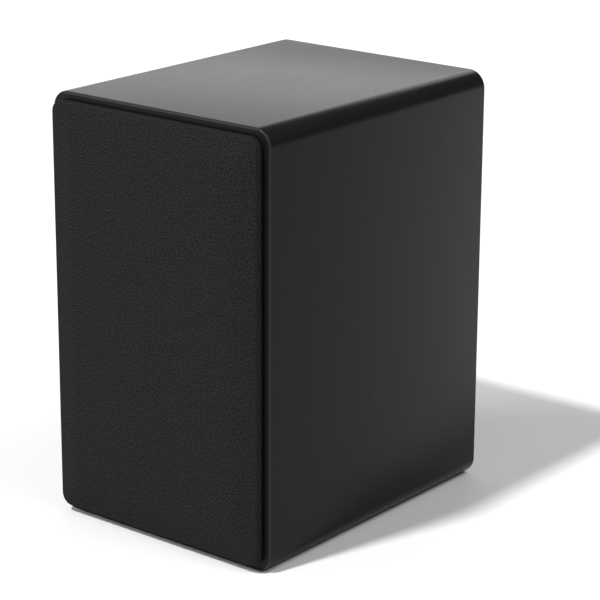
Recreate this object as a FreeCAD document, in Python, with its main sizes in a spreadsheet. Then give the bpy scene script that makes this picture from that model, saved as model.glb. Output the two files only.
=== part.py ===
import FreeCAD, Part
import math
import os
import re
import Sketcher
from FreeCAD import Vector

# Compact two-way bookshelf speaker: ported wooden cabinet, woofer, tweeter,
# crossover, rear terminals and a removable front grille.
#
# Frame: +X to the right as one faces the grille, -Y out of the front, +Z up.
# The origin is at the middle of the cabinet's base. Lengths are millimetres.

doc = FreeCAD.newDocument("BookshelfSpeaker")

# ---------------------------------------------------------------- sizes

SIZES = {
    # cabinet: four wall panels in one wrap, with the front and rear panels let in flush
    "cabinet_width": 150, "cabinet_height": 238, "cabinet_depth": 186,
    "wall": 12, "baffle_thick": 15, "rear_thick": 12,
    "corner_round": 10, "front_round": 1.6, "rear_round": 1,
    "brace_thick": 10, "brace_lift": 55, "brace_rim": 11,
    "pad_thick": 8, "pad_high": 108, "pad_long": 120,
    # grille: frame with a side wall and a bevel, covered with cloth
    "grille_inset": 4, "grille_gap": 1.2, "grille_round": 6.5, "grille_side": 4,
    "bevel_width": 15, "bevel_rise": 3, "crest_round": 1, "cloth_thick": 0.6, "window_round": 24,
    "peg_radius": 3, "peg_length": 10, "peg_inset": 17, "peg_fit": 0.15,
    "peg_cup_wall": 1.3, "peg_cup_lip": 0.8, "peg_cup_over": 1.35, "peg_cup_floor": 1,
    # fasteners: heads, keys and the play round them
    "head_thick": 2.2, "key_flats": 2.5, "key_deep": 1.5, "screw_fit": 0.1, "head_fit": 0.2,
    # solder blades on both drivers
    "blade_wide": 3, "blade_thick": 0.8, "blade_long": 7, "blade_pitch": 8,
    # woofer, measured back from the baffle's face and in from its flange
    "woofer_height": 84, "woofer_flange": 58, "flange_wide": 8, "landing_wide": 4,
    "flange_thick": 4, "gasket_thick": 1, "flange_fit": 0.3, "hole_play": 1, "ledge": 2,
    "roll_round": 3.8, "roll_gap": 0.2, "rubber": 0.7, "lip_wide": 2.5,
    "basket_wall": 2, "basket_bend": 10, "bend_in": 0.4, "spider_ledge": 24, "spider_step": 10,
    "spider_out": "=woofer_flange - flange_wide - landing_wide - spider_step",
    "ledge_under": 0.5, "ledge_foot": 3, "basket_back": 38, "neck_step": 3,
    "basket_neck": "=spider_out - neck_step", "basket_bore": 16,
    "spoke_angle": 20, "spoke_count": 6, "window_top": 5, "window_foot": 1, "window_clear": 3,
    "cone_thick": 0.8, "cone_neck_depth": 19.5, "cap_radius": 17, "cap_rise": 6,
    "former_radius": 12.75, "former_wall": 0.2, "former_end": 46, "former_lap": 1,
    "coil_wire": 0.5, "coil_start": 36.5, "coil_length": 8, "coil_fit": 0.35, "pole_fit": 0.3,
    "plate_thick": 5, "plate_over": 1, "magnet_over": 7, "magnet_bore": 18, "magnet_thick": 15,
    "back_step": 4, "top_plate_radius": "=basket_neck + plate_over",
    "magnet_radius": "=basket_neck + magnet_over", "back_plate_radius": "=magnet_radius - back_step",
    "spider_thick": 0.5, "spider_wave": 1.2, "spider_waves": 5, "spider_flat": 3,
    "woofer_screw_head": 3.6, "woofer_screw_radius": 1.9, "woofer_screw_length": 16,
    "strip_reach": 12, "strip_wide": 16, "strip_thick": 1.5, "strip_lift": 4, "blade_inset": 4,
    "lead_radius": 0.6, "lead_bend": 3, "lead_inset": 6, "lead_lift": 4.5, "lead_join": 21.5,
    "lead_gap": 1.2,
    # tweeter, measured down from the cabinet's top and back from the baffle's face
    "tweeter_drop": 56, "face_radius": 36, "face_thick": 4, "tweeter_gasket": 0.6,
    "edge_span": 3.8, "hub_wide": 3.5, "throat_lip": 0.8, "mouth": 24, "horn_round": 12,
    "dome_radius": 12.6, "dome_rise": 4, "dome_edge": 4.6, "edge_seat": 0.7, "dome_thick": 0.3,
    "dome_former": 0.15, "dome_coil": 0.3, "dome_coil_end": 8.6, "dome_gap": 0.25,
    "silk_thick": 0.3, "edge_roll": 1.2, "edge_flat": 0.2, "edge_chord": 1.68, "edge_fit": 0.1,
    "tweeter_plate": 3, "tweeter_top_radius": 26, "tweeter_magnet_radius": 27.5,
    "tweeter_magnet_wall": 11.5, "tweeter_magnet_thick": 9, "tweeter_back_radius": 25,
    "tweeter_screw_inset": 3.8, "tweeter_screw_head": 2.7, "tweeter_screw_radius": 1.5,
    "tweeter_screw_length": 13, "lug_inset": 6,
    # bass port in the rear panel, measured down from the cabinet's top
    "port_drop": 56, "port_radius": 17, "port_wall": 2, "port_length": 95, "flare_round": 9,
    "port_rim": 3, "port_flange_thick": 3, "port_neck": 3, "port_socket": 8, "port_socket_wall": 2.5,
    # rear terminals
    "cup_height": 60, "cup_wide": 64, "cup_high": 44, "cup_deep": 17.5, "cup_shell": 2.5,
    "cup_round": 5, "cup_rim": 10, "cup_flange_round": 8, "cup_flange_thick": 3,
    "cup_gasket": 0.5, "cup_fit": 0.5, "cup_screw_inset": 4.5, "cup_screw_head": 2.8,
    "cup_screw_radius": 1.5, "cup_screw_length": 13,
    "post_pitch": 19, "post_radius": 3, "post_inside": 10, "post_outside": 18.5,
    "socket_radius": 2.05, "socket_deep": 12, "ring_radius": 7, "ring_thick": 3,
    "washer_radius": 5.5, "washer_thick": 1, "post_play": 0.3, "thread_fit": 0.05,
    "knob_radius": 7, "knob_length": 15.5, "knob_groove": 0.9, "knob_grooves": 18,
    "groove_out": 0.3, "knob_collar": 2, "wire_hole": 1.2, "wire_hole_lift": 0.6,
    "nut_flats": 10, "nut_thick": 4,
    "tab_thick": 0.8, "tab_long": 20, "tab_wide": 8, "tab_over": 6, "tab_round": 2,
    # crossover: parts stand at a distance from the board's middle and from its front edge
    "board_wide": 96, "board_long": 80, "board_thick": 1.6, "board_lift": 8, "board_rear_gap": 28,
    "standoff_radius": 3.5, "board_screw_inset": 5, "board_screw_radius": 1.5,
    "board_screw_head": 2.8, "board_head_thick": 2,
    "big_coil": 16, "big_coil_bore": 7, "big_coil_thick": 13, "big_coil_across": -23, "big_coil_along": 20,
    "small_coil": 11, "small_coil_bore": 5, "small_coil_thick": 10,
    "small_coil_across": 27, "small_coil_along": 17,
    "film_radius": 6.5, "film_long": 26, "film_across": 6, "film_pitch": 16, "film_along": 36,
    "can_radius": 8, "can_tall": 14, "can_across": -26, "can_along": 54,
    "block_wide": 9, "block_long": 22, "block_tall": 8,
    "block_across": -9, "block_along": 50, "block_pitch": 47, "block_step": 4,
    # wiring
    "wire_radius": 1.1, "wire_pitch": 5, "wire_bend": 5, "wire_gap": 0.1, "wire_join": 6,
    "wire_rise": 10, "wire_edge": 7, "side_inset": 4, "side_along": 28,
    "strip_run": 16, "strip_drop": 12, "lug_run": 24, "lug_drop": 30,
}

sheet = doc.addObject("Spreadsheet::Sheet", "Sizes")
for row, (name, number) in enumerate(SIZES.items(), 1):
    sheet.set("A%d" % row, name)
    sheet.set("B%d" % row, str(number))
    sheet.setAlias("B%d" % row, name)
doc.recompute()

# Places that several pieces share, as expressions on the sheet's names.
FRONT = "(-cabinet_depth/2)"
REAR = "(cabinet_depth/2)"
INNER_WIDE = "(cabinet_width - 2*wall)"
INNER_HIGH = "(cabinet_height - 2*wall)"
MIDDLE = "(cabinet_height/2)"
INNER_FRONT = "(baffle_thick - cabinet_depth/2)"
INNER_REAR = "(cabinet_depth/2 - rear_thick)"
INNER_LONG = "(cabinet_depth - baffle_thick - rear_thick)"
TWEETER_UP = "(cabinet_height - tweeter_drop)"
PORT_UP = "(cabinet_height - port_drop)"
LANDING_OUT = "(woofer_flange - flange_wide)"
LANDING_IN = "(woofer_flange - flange_wide - landing_wide)"
ROLL_MIDDLE = "(%s - roll_round - roll_gap)" % LANDING_IN
CONE_EDGE = "(%s - roll_round - roll_gap)" % ROLL_MIDDLE
LIP_IN = "(%s - lip_wide)" % CONE_EDGE
WOOFER_HOLE = "(%s + basket_wall + hole_play)" % LANDING_IN
TWEETER_HOLE = "(tweeter_magnet_radius + hole_play)"
THROAT = "(dome_radius + edge_span)"
PEG_CUP = "(peg_radius + peg_fit + peg_cup_wall)"
PORT_FLANGE = "(port_radius + flare_round + port_rim)"
CUP_FLANGE_WIDE = "(cup_wide + 2*cup_rim)"
CUP_FLANGE_HIGH = "(cup_high + 2*cup_rim)"


def bound(text):
    """The expression text with each sheet name written as FreeCAD reads it."""
    def full_name(found):
        return "Sizes." + found.group() if found.group() in SIZES else found.group()
    return re.sub(r"[a-z][a-z_]*", full_name, str(text))


def value(text):
    """The number that an expression on the sheet's names comes to."""
    return float(sheet.evalExpression(bound(text)))


# ---------------------------------------------------------------- drawing helpers


def circle(across, up, radius):
    return [("circle", across, up, radius)]


def rectangle(wide, high, across="0", up="0", rounding=None):
    """A rectangle about a centre, with rounded corners where a radius is given."""
    x0, x1 = "(%s - %s/2)" % (across, wide), "(%s + %s/2)" % (across, wide)
    z0, z1 = "(%s - %s/2)" % (up, high), "(%s + %s/2)" % (up, high)
    if rounding is None:
        return [[(x0, z0), (x1, z0), (x1, z1), (x0, z1)]]
    r = rounding
    return [[
        ("%s + %s" % (x0, r), z0), ("%s - %s" % (x1, r), z0, r),
        (x1, "%s + %s" % (z0, r)), (x1, "%s - %s" % (z1, r), r),
        ("%s - %s" % (x1, r), z1), ("%s + %s" % (x0, r), z1, r),
        (x0, "%s - %s" % (z1, r)), (x0, "%s + %s" % (z0, r), r),
    ]]


def pin_point(sketch, edge, end, corner):
    """Tie a point of the sketch to the sketch's origin, by two expressions."""
    for kind, text in (("DistanceX", corner[0]), ("DistanceY", corner[1])):
        number = sketch.addConstraint(Sketcher.Constraint(kind, -1, 1, edge, end, value(text)))
        sketch.setExpression("Constraints[%d]" % number, bound(text))


def set_radius(sketch, edge, text):
    number = sketch.addConstraint(Sketcher.Constraint("Radius", edge, value(text)))
    sketch.setExpression("Constraints[%d]" % number, bound(text))


def draw_arc(start, end, radius):
    """A short arc from start to end; a positive radius turns to the left, a negative one to the right."""
    half = (end - start) * 0.5
    left = Vector(-half.y, half.x, 0).normalize() * (1 if radius > 0 else -1)
    centre = start + half + left * math.sqrt(max(radius ** 2 - half.Length ** 2, 0))
    angles = [math.atan2(p.y - centre.y, p.x - centre.x) for p in (start, end)]
    if radius < 0:
        angles.reverse()
    ring = Part.Circle(centre, Vector(0, 0, 1), abs(radius))
    return Part.ArcOfCircle(ring, angles[0], angles[1] + (2 * math.pi if angles[1] < angles[0] else 0))


def draw_loop(sketch, corners):
    """A closed outline. A corner with a third value starts an arc of that radius to the next corner."""
    places = [Vector(value(corner[0]), value(corner[1]), 0) for corner in corners]
    ends = []
    for index, corner in enumerate(corners):
        start, end = places[index], places[(index + 1) % len(corners)]
        if len(corner) == 3:
            radius = value(corner[2])
            edge = sketch.addGeometry(draw_arc(start, end, radius), False)
            ends.append((edge, (1, 2) if radius > 0 else (2, 1)))
        else:
            ends.append((sketch.addGeometry(Part.LineSegment(start, end), False), (1, 2)))
    for index, (edge, (first, last)) in enumerate(ends):
        following, (next_first, _) = ends[(index + 1) % len(ends)]
        sketch.addConstraint(Sketcher.Constraint("Coincident", edge, last, following, next_first))
    for index, corner in enumerate(corners):
        edge, (first, last) = ends[index]
        pin_point(sketch, edge, first, corner)
        if len(corner) == 3:
            set_radius(sketch, edge, "abs(%s)" % corner[2])


class Piece:
    """One physical piece: a PartDesign body whose features are added one after another."""

    made = []

    def __init__(self, label, across="0", along="0", up="0"):
        self.body = doc.addObject("PartDesign::Body", label)
        self.body.Label = label
        for axis, text in (("x", across), ("y", along), ("z", up)):
            self.body.setExpression("Placement.Base." + axis, bound(text))
        self.volume = 0.0
        Piece.made.append(self.body)

    def origin(self, role):
        return [item for item in self.body.Origin.OriginFeatures if item.Role == role][0]

    def sketch(self, plane, outline, start="0"):
        """Sketch on an origin plane, moved along the plane's positive axis to start."""
        sketch = self.body.newObject("Sketcher::SketchObject", self.body.Name + "_outline")
        sketch.AttachmentSupport = [(self.origin(plane), "")]
        sketch.MapMode = "FlatFace"
        side = "-1*" if plane == "XZ_Plane" else ""
        sketch.setExpression("AttachmentOffset.Base.z", bound("%s(%s)" % (side, start)))
        for shape in outline:
            if shape[0] == "circle":
                centre = Vector(value(shape[1]), value(shape[2]), 0)
                edge = sketch.addGeometry(Part.Circle(centre, Vector(0, 0, 1), value(shape[3])), False)
                pin_point(sketch, edge, 3, shape[1:3])
                set_radius(sketch, edge, shape[3])
            else:
                draw_loop(sketch, shape)
        return sketch

    def finish(self, feature, adds):
        """Make the feature the body's newest state, and see that it really added or removed."""
        self.body.Tip = feature
        doc.recompute()
        volume = self.body.Shape.Volume
        if (volume > self.volume) != adds or abs(volume - self.volume) < 1e-6:
            raise ValueError("%s: %s changed nothing" % (self.body.Label, feature.Name))
        self.volume = volume
        return feature

    def pad(self, outline, start, length, plane="XZ_Plane"):
        """Material from start, along the plane's positive axis, for a length."""
        sketch = self.sketch(plane, outline, start)
        feature = self.body.newObject("PartDesign::Pad", self.body.Name + "_pad")
        feature.Profile = sketch
        feature.Reversed = plane == "XZ_Plane"
        feature.setExpression("Length", bound(length))
        return self.finish(feature, True)

    def cut(self, outline, start, length, plane="XZ_Plane"):
        """Remove material from start, along the plane's positive axis, for a length."""
        sketch = self.sketch(plane, outline, start)
        feature = self.body.newObject("PartDesign::Pocket", self.body.Name + "_cut")
        feature.Profile = sketch
        feature.Reversed = plane != "XZ_Plane"
        feature.setExpression("Length", bound(length))
        return self.finish(feature, False)

    def turn(self, profile):
        """Material of revolution about the local Y axis; the profile holds (radius, distance along Y)."""
        sketch = self.sketch("XY_Plane", [profile])
        feature = self.body.newObject("PartDesign::Revolution", self.body.Name + "_turn")
        feature.Profile = sketch
        feature.ReferenceAxis = (sketch, ["V_Axis"])
        feature.Angle = 360
        return self.finish(feature, True)

    def loft(self, near, near_start, far, far_start, adds=True):
        """A straight-sided loft between two outlines at two places along Y."""
        kind = "PartDesign::AdditiveLoft" if adds else "PartDesign::SubtractiveLoft"
        first, second = self.sketch("XZ_Plane", near, near_start), self.sketch("XZ_Plane", far, far_start)
        feature = self.body.newObject(kind, self.body.Name + "_loft")
        feature.Profile = first
        feature.Sections = [second]
        feature.Ruled = True
        return self.finish(feature, adds)

    def repeat(self, feature, count):
        """The feature again and again in a ring about the local Y axis."""
        adds = "Pad" in feature.TypeId
        pattern = self.body.newObject("PartDesign::PolarPattern", self.body.Name + "_ring")
        pattern.Originals = [feature]
        pattern.Axis = (self.origin("Y_Axis"), [""])
        pattern.Angle = 360
        pattern.Occurrences = count
        return self.finish(pattern, adds)

    def fillet(self, radius, wanted):
        """Round the edges for which wanted(edge) is true."""
        base = self.body.Tip
        edges = ["Edge%d" % n for n, edge in enumerate(base.Shape.Edges, 1) if wanted(edge)]
        feature = self.body.newObject("PartDesign::Fillet", self.body.Name + "_fillet")
        feature.Base = (base, edges)
        feature.setExpression("Radius", bound(radius))
        return self.finish(feature, False)


def tube(label, inner, outer, start, end, **place):
    """A plain ring or tube about Y, from start to end."""
    piece = Piece(label, **place)
    piece.turn([(inner, start), (outer, start), (outer, end), (inner, end)])
    return piece


def ring_points(radius, count, first_degrees):
    """Centres of a ring of holes, as expressions."""
    points = []
    for index in range(count):
        angle = math.radians(first_degrees + 360.0 * index / count)
        points.append(("%s*%.9f" % (radius, math.cos(angle)), "%s*%.9f" % (radius, math.sin(angle))))
    return points


def four_points(half_wide, half_high, across="0", up="0"):
    """The corners of a rectangle of holes, as expressions."""
    return [
        ("%s + (%s)*(%s)" % (across, side, half_wide), "%s + (%s)*(%s)" % (up, level, half_high))
        for side in ("-1", "1") for level in ("-1", "1")
    ]


def circles(points, radius):
    return [("circle", across, up, radius) for across, up in points]


def hexagon(flats, across, up):
    corner = "(%s)/1.732050808" % flats
    points = ring_points(corner, 6, 30)
    return [("%s + %s" % (across, x), "%s + %s" % (up, z)) for x, z in points]


def screws(label, points, head_radius, head_start, head, shank_radius, shank_length, key=None, **place):
    """A group of cap-head screws along +Y: heads of thickness head, from head_start."""
    piece = Piece(label, **place)
    piece.pad(circles(points, head_radius), head_start, head)
    piece.pad(circles(points, shank_radius), "%s + %s" % (head_start, head), shank_length)
    if key:
        piece.cut([hexagon(key[0], across, up) for across, up in points], head_start, key[1])
    return piece


def loose(label, shape):
    """A piece whose shape is worked out here from the sheet's values."""
    feature = doc.addObject("Part::Feature", label)
    feature.Label = label
    feature.Shape = shape
    feature.Placement = FreeCAD.Placement()
    Piece.made.append(feature)


# ---------------------------------------------------------------- cabinet

PEG_ACROSS = "(cabinet_width/2 - grille_inset - peg_inset)"
PEG_UP = "(cabinet_height/2 - grille_inset - peg_inset)"
PEGS = four_points(PEG_ACROSS, PEG_UP, up=MIDDLE)
WOOFER_SCREWS = ring_points("(woofer_flange - flange_wide/2)", 4, 45)
TWEETER_SCREWS = ring_points("(face_radius - tweeter_screw_inset)", 4, 45)
FLANGE_DEEP = "(flange_thick + gasket_thick)"
FACE_DEEP = "(face_thick + tweeter_gasket)"
CUP_SCREWS = four_points(
    "%s/2 - cup_screw_inset" % CUP_FLANGE_WIDE, "%s/2 - cup_screw_inset" % CUP_FLANGE_HIGH)


def at_height(points, up):
    return [(across, "%s + %s" % (up, level)) for across, level in points]


def make_cabinet_shell():
    shell = Piece("cabinet_shell")
    outside = rectangle("cabinet_width", "cabinet_height", up=MIDDLE, rounding="corner_round")
    inside = rectangle(INNER_WIDE, INNER_HIGH, up=MIDDLE)
    shell.pad(outside + inside, FRONT, "cabinet_depth")
    reach_x, reach_z = value(INNER_WIDE) / 2 + 0.01, value(INNER_HIGH) / 2 + 0.01

    def outer_edge_at(place):
        def wanted(edge):
            box = edge.BoundBox
            flat = abs(box.YMin - place) < 0.01 and abs(box.YMax - place) < 0.01
            centre = box.Center
            return flat and (abs(centre.x) > reach_x or abs(centre.z - value(MIDDLE)) > reach_z)
        return wanted

    shell.fillet("front_round", outer_edge_at(value(FRONT)))
    shell.fillet("rear_round", outer_edge_at(value(REAR)))


def make_front_baffle():
    baffle = Piece("front_baffle")
    baffle.pad(rectangle(INNER_WIDE, INNER_HIGH, up=MIDDLE), FRONT, "baffle_thick")
    baffle.cut(circle("0", "woofer_height", "woofer_flange + flange_fit"), FRONT, FLANGE_DEEP)
    baffle.cut(circle("0", "woofer_height", WOOFER_HOLE), FRONT, "baffle_thick")
    baffle.cut(circle("0", TWEETER_UP, "face_radius + flange_fit"), FRONT, FACE_DEEP)
    baffle.cut(circle("0", TWEETER_UP, TWEETER_HOLE), FRONT, "baffle_thick")
    baffle.cut(circles(PEGS, PEG_CUP), FRONT, "peg_length + peg_cup_floor")
    baffle.cut(circles(at_height(WOOFER_SCREWS, "woofer_height"), "woofer_screw_radius"),
               FRONT, "baffle_thick")
    baffle.cut(circles(at_height(TWEETER_SCREWS, TWEETER_UP), "tweeter_screw_radius"),
               FRONT, "baffle_thick")


def make_rear_panel():
    panel = Piece("rear_panel")
    panel.pad(rectangle(INNER_WIDE, INNER_HIGH, up=MIDDLE), INNER_REAR, "rear_thick")
    panel.cut(circle("0", PORT_UP, "%s + flange_fit" % PORT_FLANGE),
              "cabinet_depth/2 - port_flange_thick", "port_flange_thick")
    panel.cut(circle("0", PORT_UP, "port_radius + port_wall + port_socket_wall + flange_fit"),
              INNER_REAR, "rear_thick")
    panel.cut(rectangle("(cup_wide + 2*cup_shell + 2*cup_fit)", "(cup_high + 2*cup_shell + 2*cup_fit)",
                        up="cup_height", rounding="(cup_round + cup_shell + cup_fit)"),
              INNER_REAR, "rear_thick")
    panel.cut(circles(at_height(CUP_SCREWS, "cup_height"), "cup_screw_radius"), INNER_REAR, "rear_thick")


def make_shelf_brace():
    brace = Piece("shelf_brace")
    low = "woofer_height + brace_lift"
    along = "(%s + %s/2)" % (INNER_FRONT, INNER_LONG)
    brace.pad(rectangle(INNER_WIDE, INNER_LONG, up=along), low, "brace_thick", "XY_Plane")
    brace.cut(rectangle("(%s - 2*brace_rim)" % INNER_WIDE, "(%s - 4*brace_rim)" % INNER_LONG,
                        up=along, rounding="brace_rim"),
              low, "brace_thick", "XY_Plane")


def make_damping_pads():
    for side, start in (("left", "(wall - cabinet_width/2)"),
                        ("right", "(cabinet_width/2 - wall - pad_thick)")):
        pad = Piece(side + "_damping_pad")
        pad.pad(rectangle("pad_long", "pad_high", up="(wall + pad_high/2 + board_lift)"),
                start, "pad_thick", "YZ_Plane")


# ---------------------------------------------------------------- grille

GRILLE_REAR = "(-cabinet_depth/2 - grille_gap)"
GRILLE_WIDE = "(cabinet_width - 2*grille_inset)"
GRILLE_HIGH = "(cabinet_height - 2*grille_inset)"


def grille_form(piece, skin, adds):
    """The grille's outer form, taken in by a skin: straight sides, then a bevel up to a flat crest.

    The shoulder drops back by a little less than the skin, because the bevel leans.
    """
    base = rectangle("(%s - 2*%s)" % (GRILLE_WIDE, skin), "(%s - 2*%s)" % (GRILLE_HIGH, skin),
                     up=MIDDLE, rounding="(grille_round - %s)" % skin)
    crest = rectangle("(%s - 2*bevel_width)" % GRILLE_WIDE, "(%s - 2*bevel_width)" % GRILLE_HIGH,
                      up=MIDDLE, rounding="crest_round")
    shoulder = "(%s - grille_side + 0.8*%s)" % (GRILLE_REAR, skin)
    top = "(%s - grille_side - bevel_rise + %s)" % (GRILLE_REAR, skin)
    if adds:
        piece.pad(base, shoulder, "(%s - %s)" % (GRILLE_REAR, shoulder))
    else:
        piece.cut(base, shoulder, "(%s - %s)" % (GRILLE_REAR, shoulder))
    piece.loft(base, shoulder, crest, top, adds)


def make_grille():
    frame = Piece("grille_frame")
    grille_form(frame, "cloth_thick", True)
    window = rectangle("(%s - 2*bevel_width)" % GRILLE_WIDE, "(%s - 2*bevel_width)" % GRILLE_HIGH,
                       up=MIDDLE, rounding="window_round")
    frame.cut(window, "(%s - grille_side - bevel_rise)" % GRILLE_REAR, "grille_side + bevel_rise")

    cloth = Piece("grille_cloth")
    grille_form(cloth, "0", True)
    grille_form(cloth, "cloth_thick", False)

    pegs = Piece("grille_pegs")
    pegs.pad(circles(PEGS, "peg_radius"), GRILLE_REAR, "peg_length")

    sockets = Piece("grille_sockets")
    lip = "(-cabinet_depth/2 - peg_cup_lip)"
    sockets.pad(circles(PEGS, "%s + peg_cup_over" % PEG_CUP), lip, "peg_cup_lip")
    sockets.pad(circles(PEGS, PEG_CUP), FRONT, "peg_length + peg_cup_floor")
    sockets.cut(circles(PEGS, "peg_radius + peg_fit"), lip, "peg_length + peg_cup_lip")


# ---------------------------------------------------------------- woofer

WOOFER = {"along": FRONT, "up": "woofer_height"}
PLATE_FRONT = "basket_back"
MAGNET_FRONT = "(basket_back + plate_thick)"
MAGNET_BACK = "(basket_back + plate_thick + magnet_thick)"
WOOFER_BACK = "(basket_back + 2*plate_thick + magnet_thick)"
CONE_SLOPE = "((cone_neck_depth - ledge)/(%s - former_radius))" % LIP_IN
CAP_SEAT = "(ledge + %s*(%s - cap_radius))" % (CONE_SLOPE, LIP_IN)


def make_woofer_basket():
    basket = Piece("woofer_basket", **WOOFER)
    basket.turn([
        ("woofer_flange", "0"), ("woofer_flange", "flange_thick"),
        ("%s + basket_wall" % LANDING_IN, "flange_thick"),
        ("%s + basket_wall - bend_in" % LANDING_IN, "basket_bend"),
        ("spider_out + basket_wall", "spider_ledge + ledge_under"),
        ("basket_neck + basket_wall", "spider_ledge + ledge_foot"),
        ("basket_neck + basket_wall", "basket_back"), ("basket_bore", "basket_back"),
        ("basket_bore", "basket_back - basket_wall"), ("basket_neck", "basket_back - basket_wall"),
        ("basket_neck", "spider_ledge"), ("spider_out", "spider_ledge"),
        ("%s - bend_in" % LANDING_IN, "basket_bend"), (LANDING_IN, "flange_thick"),
        (LANDING_IN, "ledge"), (LANDING_OUT, "ledge"), (LANDING_OUT, "0"),
    ])
    spokes = int(value("spoke_count"))
    half = math.radians((360 / spokes - value("spoke_angle")) / 2)
    near, far = "basket_neck", "(%s + basket_wall + window_clear)" % LANDING_IN
    window = [[
        ("%s*%.9f" % (near, math.cos(half)), "-%s*%.9f" % (near, math.sin(half))),
        ("%s*%.9f" % (far, math.cos(half)), "-%s*%.9f" % (far, math.sin(half))),
        ("%s*%.9f" % (far, math.cos(half)), "%s*%.9f" % (far, math.sin(half))),
        ("%s*%.9f" % (near, math.cos(half)), "%s*%.9f" % (near, math.sin(half))),
    ]]
    window_high = "(spider_ledge - window_foot - flange_thick - window_top)"
    basket.repeat(basket.cut(window, "flange_thick + window_top", window_high), spokes)
    basket.cut(circles(WOOFER_SCREWS, "woofer_screw_radius + flange_fit"), "0", "flange_thick")
    basket.cut(circles(WOOFER_SCREWS, "woofer_screw_head + flange_fit"), "0", "head_thick")


def dome_profile(radius, rise, thick, base):
    """Half the section of a thin dome that bulges to the front from its base."""
    inner = "(%s - %s)" % (radius, thick)
    outer_bulge = "(%s^2 + %s^2)/(2*%s)" % (radius, rise, rise)
    inner_bulge = "(%s^2 + %s^2)/(2*%s)" % (inner, rise, rise)
    return [
        ("0", "%s - %s - %s" % (base, rise, thick), outer_bulge), (radius, "%s - %s" % (base, thick)),
        (radius, base), (inner, base, "-1*" + inner_bulge), ("0", "%s - %s" % (base, rise)),
    ]


def make_woofer_moving_parts():
    """Cone, dust cap, former and coil, with the surround and spider that carry them.

    The cone leans, so its wall is 1.3 times as thick along the axis, and its lip turns a little further out.
    """
    cone = Piece("woofer_cone", **WOOFER)
    rim = "(ledge + cone_thick)"
    cone.turn([
        (LIP_IN, "ledge"), (CONE_EDGE, "ledge"), (CONE_EDGE, rim), ("%s + 0.4*cone_thick" % LIP_IN, rim),
        ("former_radius", "cone_neck_depth + 1.3*cone_thick"), ("former_radius", "cone_neck_depth"),
    ])
    cap = Piece("woofer_dust_cap", **WOOFER)
    cap.turn(dome_profile("cap_radius", "cap_rise", "cone_thick", CAP_SEAT))
    tube("woofer_coil_former", "former_radius - former_wall", "former_radius",
         "cone_neck_depth - former_lap", "former_end", **WOOFER)
    tube("woofer_voice_coil", "former_radius", "former_radius + coil_wire",
         "coil_start", "coil_start + coil_length", **WOOFER)

    surround = Piece("woofer_surround", **WOOFER)
    front, side = "(ledge - rubber)", "(roll_round - rubber)"
    far, near = "%s + %s" % (ROLL_MIDDLE, side), "%s - %s" % (ROLL_MIDDLE, side)
    surround.turn([
        (LIP_IN, front), ("%s - roll_round" % ROLL_MIDDLE, front, "roll_round"),
        (ROLL_MIDDLE, "%s - roll_round" % front, "roll_round"), ("%s + roll_round" % ROLL_MIDDLE, front),
        (LANDING_OUT, front), (LANDING_OUT, "ledge"), (far, "ledge"),
        (far, front, "-1*" + side), (ROLL_MIDDLE, "%s - %s" % (front, side), "-1*" + side),
        (near, front), (near, "ledge"), (LIP_IN, "ledge"),
    ])
    make_woofer_spider()


def make_woofer_spider():
    """A corrugated disc from the former to the basket's ledge."""
    spider = Piece("woofer_spider", **WOOFER)
    waves = int(value("spider_waves"))
    inner, outer = "(former_radius + spider_flat)", "(spider_out - spider_flat)"
    top, low = [], []
    for step in range(2 * waves + 1):
        radius = "(%s + (%s - %s)*%d/%d)" % (inner, outer, inner, step, 2 * waves)
        level = "(spider_ledge - spider_thick - %d*spider_wave)" % (step % 2)
        top.append((radius, level))
        low.append((radius, "%s + spider_thick" % level))
    upper = "spider_ledge - spider_thick"
    spider.turn([("former_radius", upper)] + top + [("spider_out", upper), ("spider_out", "spider_ledge")]
                + low[::-1] + [("former_radius", "spider_ledge")])


def make_woofer_motor():
    tube("woofer_top_plate", "former_radius + coil_wire + coil_fit", "top_plate_radius",
         PLATE_FRONT, MAGNET_FRONT, **WOOFER)
    tube("woofer_magnet", "magnet_bore", "magnet_radius", MAGNET_FRONT, MAGNET_BACK, **WOOFER)
    back = Piece("woofer_back_plate", **WOOFER)
    pole = "former_radius - former_wall - pole_fit"
    back.turn([
        ("0", PLATE_FRONT), (pole, PLATE_FRONT), (pole, MAGNET_BACK),
        ("back_plate_radius", MAGNET_BACK), ("back_plate_radius", WOOFER_BACK), ("0", WOOFER_BACK),
    ])


STRIP_BACK = "(basket_back - strip_lift)"
STRIP_REACH = "(basket_neck + basket_wall + strip_reach)"


def blades(across):
    """A driver's two solder blades, side by side."""
    shapes = []
    for side in ("-1", "1"):
        shapes += rectangle("blade_wide", "blade_thick", across=across, up="(%s*blade_pitch/2)" % side)
    return shapes


def make_woofer_fittings():
    gasket = Piece("woofer_gasket", **WOOFER)
    gasket.pad(circle("0", "0", "woofer_flange") + circle("0", "0", WOOFER_HOLE)
               + circles(WOOFER_SCREWS, "woofer_screw_radius"), "flange_thick", "gasket_thick")
    screws("woofer_screws", WOOFER_SCREWS, "woofer_screw_head", "0", "head_thick",
           "woofer_screw_radius", "woofer_screw_length - head_thick", ("key_flats", "key_deep"), **WOOFER)
    strip = Piece("woofer_terminal_strip", **WOOFER)
    wall, half = value("basket_neck + basket_wall"), value("strip_wide") / 2
    touch = "(basket_neck + basket_wall)*%.9f" % math.sqrt(1 - (half / wall) ** 2)
    strip.pad([[
        (touch, "-strip_wide/2"), (STRIP_REACH, "-strip_wide/2"), (STRIP_REACH, "strip_wide/2"),
        (touch, "strip_wide/2", "-(basket_neck + basket_wall)"),
    ]], "%s - strip_thick" % STRIP_BACK, "strip_thick")
    strip.pad(blades("(%s - blade_inset)" % STRIP_REACH), STRIP_BACK, "blade_long")


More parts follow.
